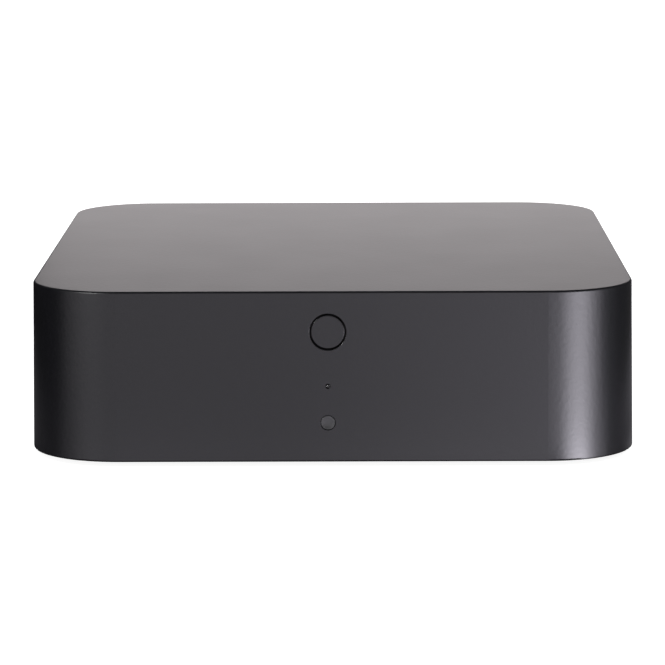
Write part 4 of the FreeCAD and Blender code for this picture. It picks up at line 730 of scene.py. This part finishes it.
# %% Room light
world = bpy.data.worlds.new("studio_room")
bpy.context.scene.world = world
world.use_nodes = True
tree = world.node_tree
tree.nodes.clear()
path = add(tree, "ShaderNodeLightPath")
direction = add(tree, "ShaderNodeTexCoord").outputs["Generated"]
axes = add(tree, "ShaderNodeSeparateXYZ", {"Vector": direction})
height, toward_back = axes.outputs["Z"], axes.outputs["Y"]
band = add(tree, "ShaderNodeValToRGB", {"Fac": height})
room_tint = (1.0, 0.945, 0.957)
fill_ramp(band, {0.0: 1.15, 0.06: 0.56, 0.12: 0.17, 0.18: 0.05, 0.25: 0.025, 0.35: 0.012,
                 0.5: 0.0025}, room_tint)
behind_box = add(tree, "ShaderNodeMapRange", {"Value": toward_back, "From Min": 0.6,
                                              "From Max": 0.95, "To Min": 2.1, "To Max": 0.05})
band_light = add(tree, "ShaderNodeBackground", {"Color": band.outputs["Color"],
                                                "Strength": behind_box.outputs["Result"]})
# The ceiling is dark, not black, or the top would lose its shape when it is seen from above.
plain_white = (1.0, 1.0, 1.0, 1.0)
ceiling = add(tree, "ShaderNodeBackground", {"Color": plain_white, "Strength": 0.06})
mirrored_room = add(tree, "ShaderNodeAddShader", {0: band_light.outputs["Background"],
                                                  1: ceiling.outputs["Background"]})
fill = add(tree, "ShaderNodeBackground", {"Color": plain_white, "Strength": 0.7})
white = add(tree, "ShaderNodeBackground", {"Color": plain_white, "Strength": 1.0})
behind = add(tree, "ShaderNodeMath", {0: path.outputs["Is Camera Ray"],
                                      1: path.outputs["Is Transmission Ray"]}, operation="MAXIMUM")
reflected = add(tree, "ShaderNodeMixShader", {0: path.outputs["Is Glossy Ray"],
                                              1: fill.outputs["Background"],
                                              2: mirrored_room.outputs["Shader"]})
room = add(tree, "ShaderNodeMixShader", {0: behind.outputs["Value"],
                                         1: reflected.outputs["Shader"],
                                         2: white.outputs["Background"]})
add(tree, "ShaderNodeOutputWorld", {"Surface": room.outputs["Shader"]})
print("room light of", len(tree.nodes), "nodes")

# %% [markdown]
# ## Lamps
#
# One large lamp overhead lights the body colours and leaves no mirror image. A small, low lamp in
# front on the left doesn't light the bodies at all, and shows only as a glint on rounded edges. One
# lamp could do both jobs, but then the glint's strength would also set how dark the plastic looks.


# %% Lamps
def softbox(name, place, target, width, height, power, in_reflections=True, on_body=True):
    """A rectangular lamp that faces a point of the box."""
    data = bpy.data.lights.new(name, "AREA")
    data.shape = "RECTANGLE"
    data.size = width
    data.size_y = height
    data.energy = power
    lamp = bpy.data.objects.new(name, data)
    lamp.location = place
    lamp.rotation_euler = (Vector(target) - Vector(place)).to_track_quat("-Z", "Y").to_euler()
    lamp.visible_camera = False
    lamp.visible_glossy = in_reflections
    lamp.visible_diffuse = on_body
    bpy.context.scene.collection.objects.link(lamp)
    return lamp


softbox("overhead_softbox", (0, 0.1, 1.3), (0, 0, 0), width=1.2, height=1.2, power=9.0,
        in_reflections=False)
softbox("left_glint_lamp", (-0.72, -0.87, 0.38), (-0.06, -0.08, 0.04), width=0.32, height=0.1,
        power=5.0, on_body=False)
print("lamps, watts:", {lamp.name: lamp.energy for lamp in bpy.data.lights})

# %% [markdown]
# ## Cards that only reflections see
#
# A black card stands on each side, a hand's breadth from the box. The corners turn dark where they
# mirror the cards, but near the floor they still mirror the strip of floor between, so they turn
# lighter toward the bottom. The right card's front end has a painted glow, as if some of the pool's
# light fell on it, which lets the stripe fade out softly.
#
# A white card stands behind the box, and the top mirrors it. Its light is a painted glow that only
# reflections see, brightest low down, just above its foot. The back of the top is nearer to it and
# mirrors a lower part of it than the front does, so the top darkens toward the camera. The room
# itself is too far away to do that. The card ends just past the box's left side, so the rounded
# edge there looks past it into the dark and turns into a thin dark line.


# %% Cards
def standing_card(name, low_mm, high_mm, axis, glow, tint=(1.0, 1.0, 1.0), brightness=1.0):
    """An upright card between two corners, in millimetres, which only reflections see. Its glow is
    painted light, a table of places along an axis, from 0 to 1, and levels."""
    low, high = Vector(low_mm) * mm, Vector(high_mm) * mm
    shape = bmesh.new()
    add_block(shape, Vector(high_mm) - Vector(low_mm), (low + high) / 2)
    data = bpy.data.meshes.new(name)
    shape.to_mesh(data)
    shape.free()
    paint = bpy.data.materials.new(f"{name}_paint")
    paint.use_nodes = True
    tree = paint.node_tree
    tree.nodes.clear()
    place = add(tree, "ShaderNodeTexCoord").outputs["Object"]
    along = add(tree, "ShaderNodeSeparateXYZ", {"Vector": place}).outputs[axis]
    number = "XYZ".index(axis)
    share = add(tree, "ShaderNodeMapRange", {"Value": along, "From Min": low[number],
                                             "From Max": high[number]})
    tone = add(tree, "ShaderNodeValToRGB", {"Fac": share.outputs["Result"]})
    fill_ramp(tone, glow, tint)
    light = add(tree, "ShaderNodeEmission", {"Color": tone.outputs["Color"],
                                             "Strength": brightness})
    add(tree, "ShaderNodeOutputMaterial", {"Surface": light.outputs["Emission"]})
    data.materials.append(paint)
    card = bpy.data.objects.new(name, data)
    bpy.context.scene.collection.objects.link(card)
    card.visible_camera = False
    card.visible_diffuse = False
    card.visible_shadow = False
    card.visible_transmission = False


standing_card("left_black_card", (-150.5, -105, 0), (-149.5, 160, 90), "Y",
              {0.0: 0.02, 1.0: 0.0})
# Painted light: the front end of the right card glows as if the pool's light fell on it.
standing_card("right_black_card", (149.5, -105, 0), (150.5, 160, 90), "Y",
              {0.0: 0.28, 0.1: 0.28, 0.2: 0.07, 1.0: 0.05})
# Painted light: the rear card glows, brightest low down, and only reflections see it.
standing_card("rear_card_painted_glow", (-111, 299.5, 0), (124, 300.5, 200), "Z",
              {0.0: 0.3, 0.2: 0.74, 0.34: 0.71, 0.42: 0.63, 0.5: 0.55, 0.65: 0.4, 0.9: 0.26},
              tint=room_tint, brightness=2.12)
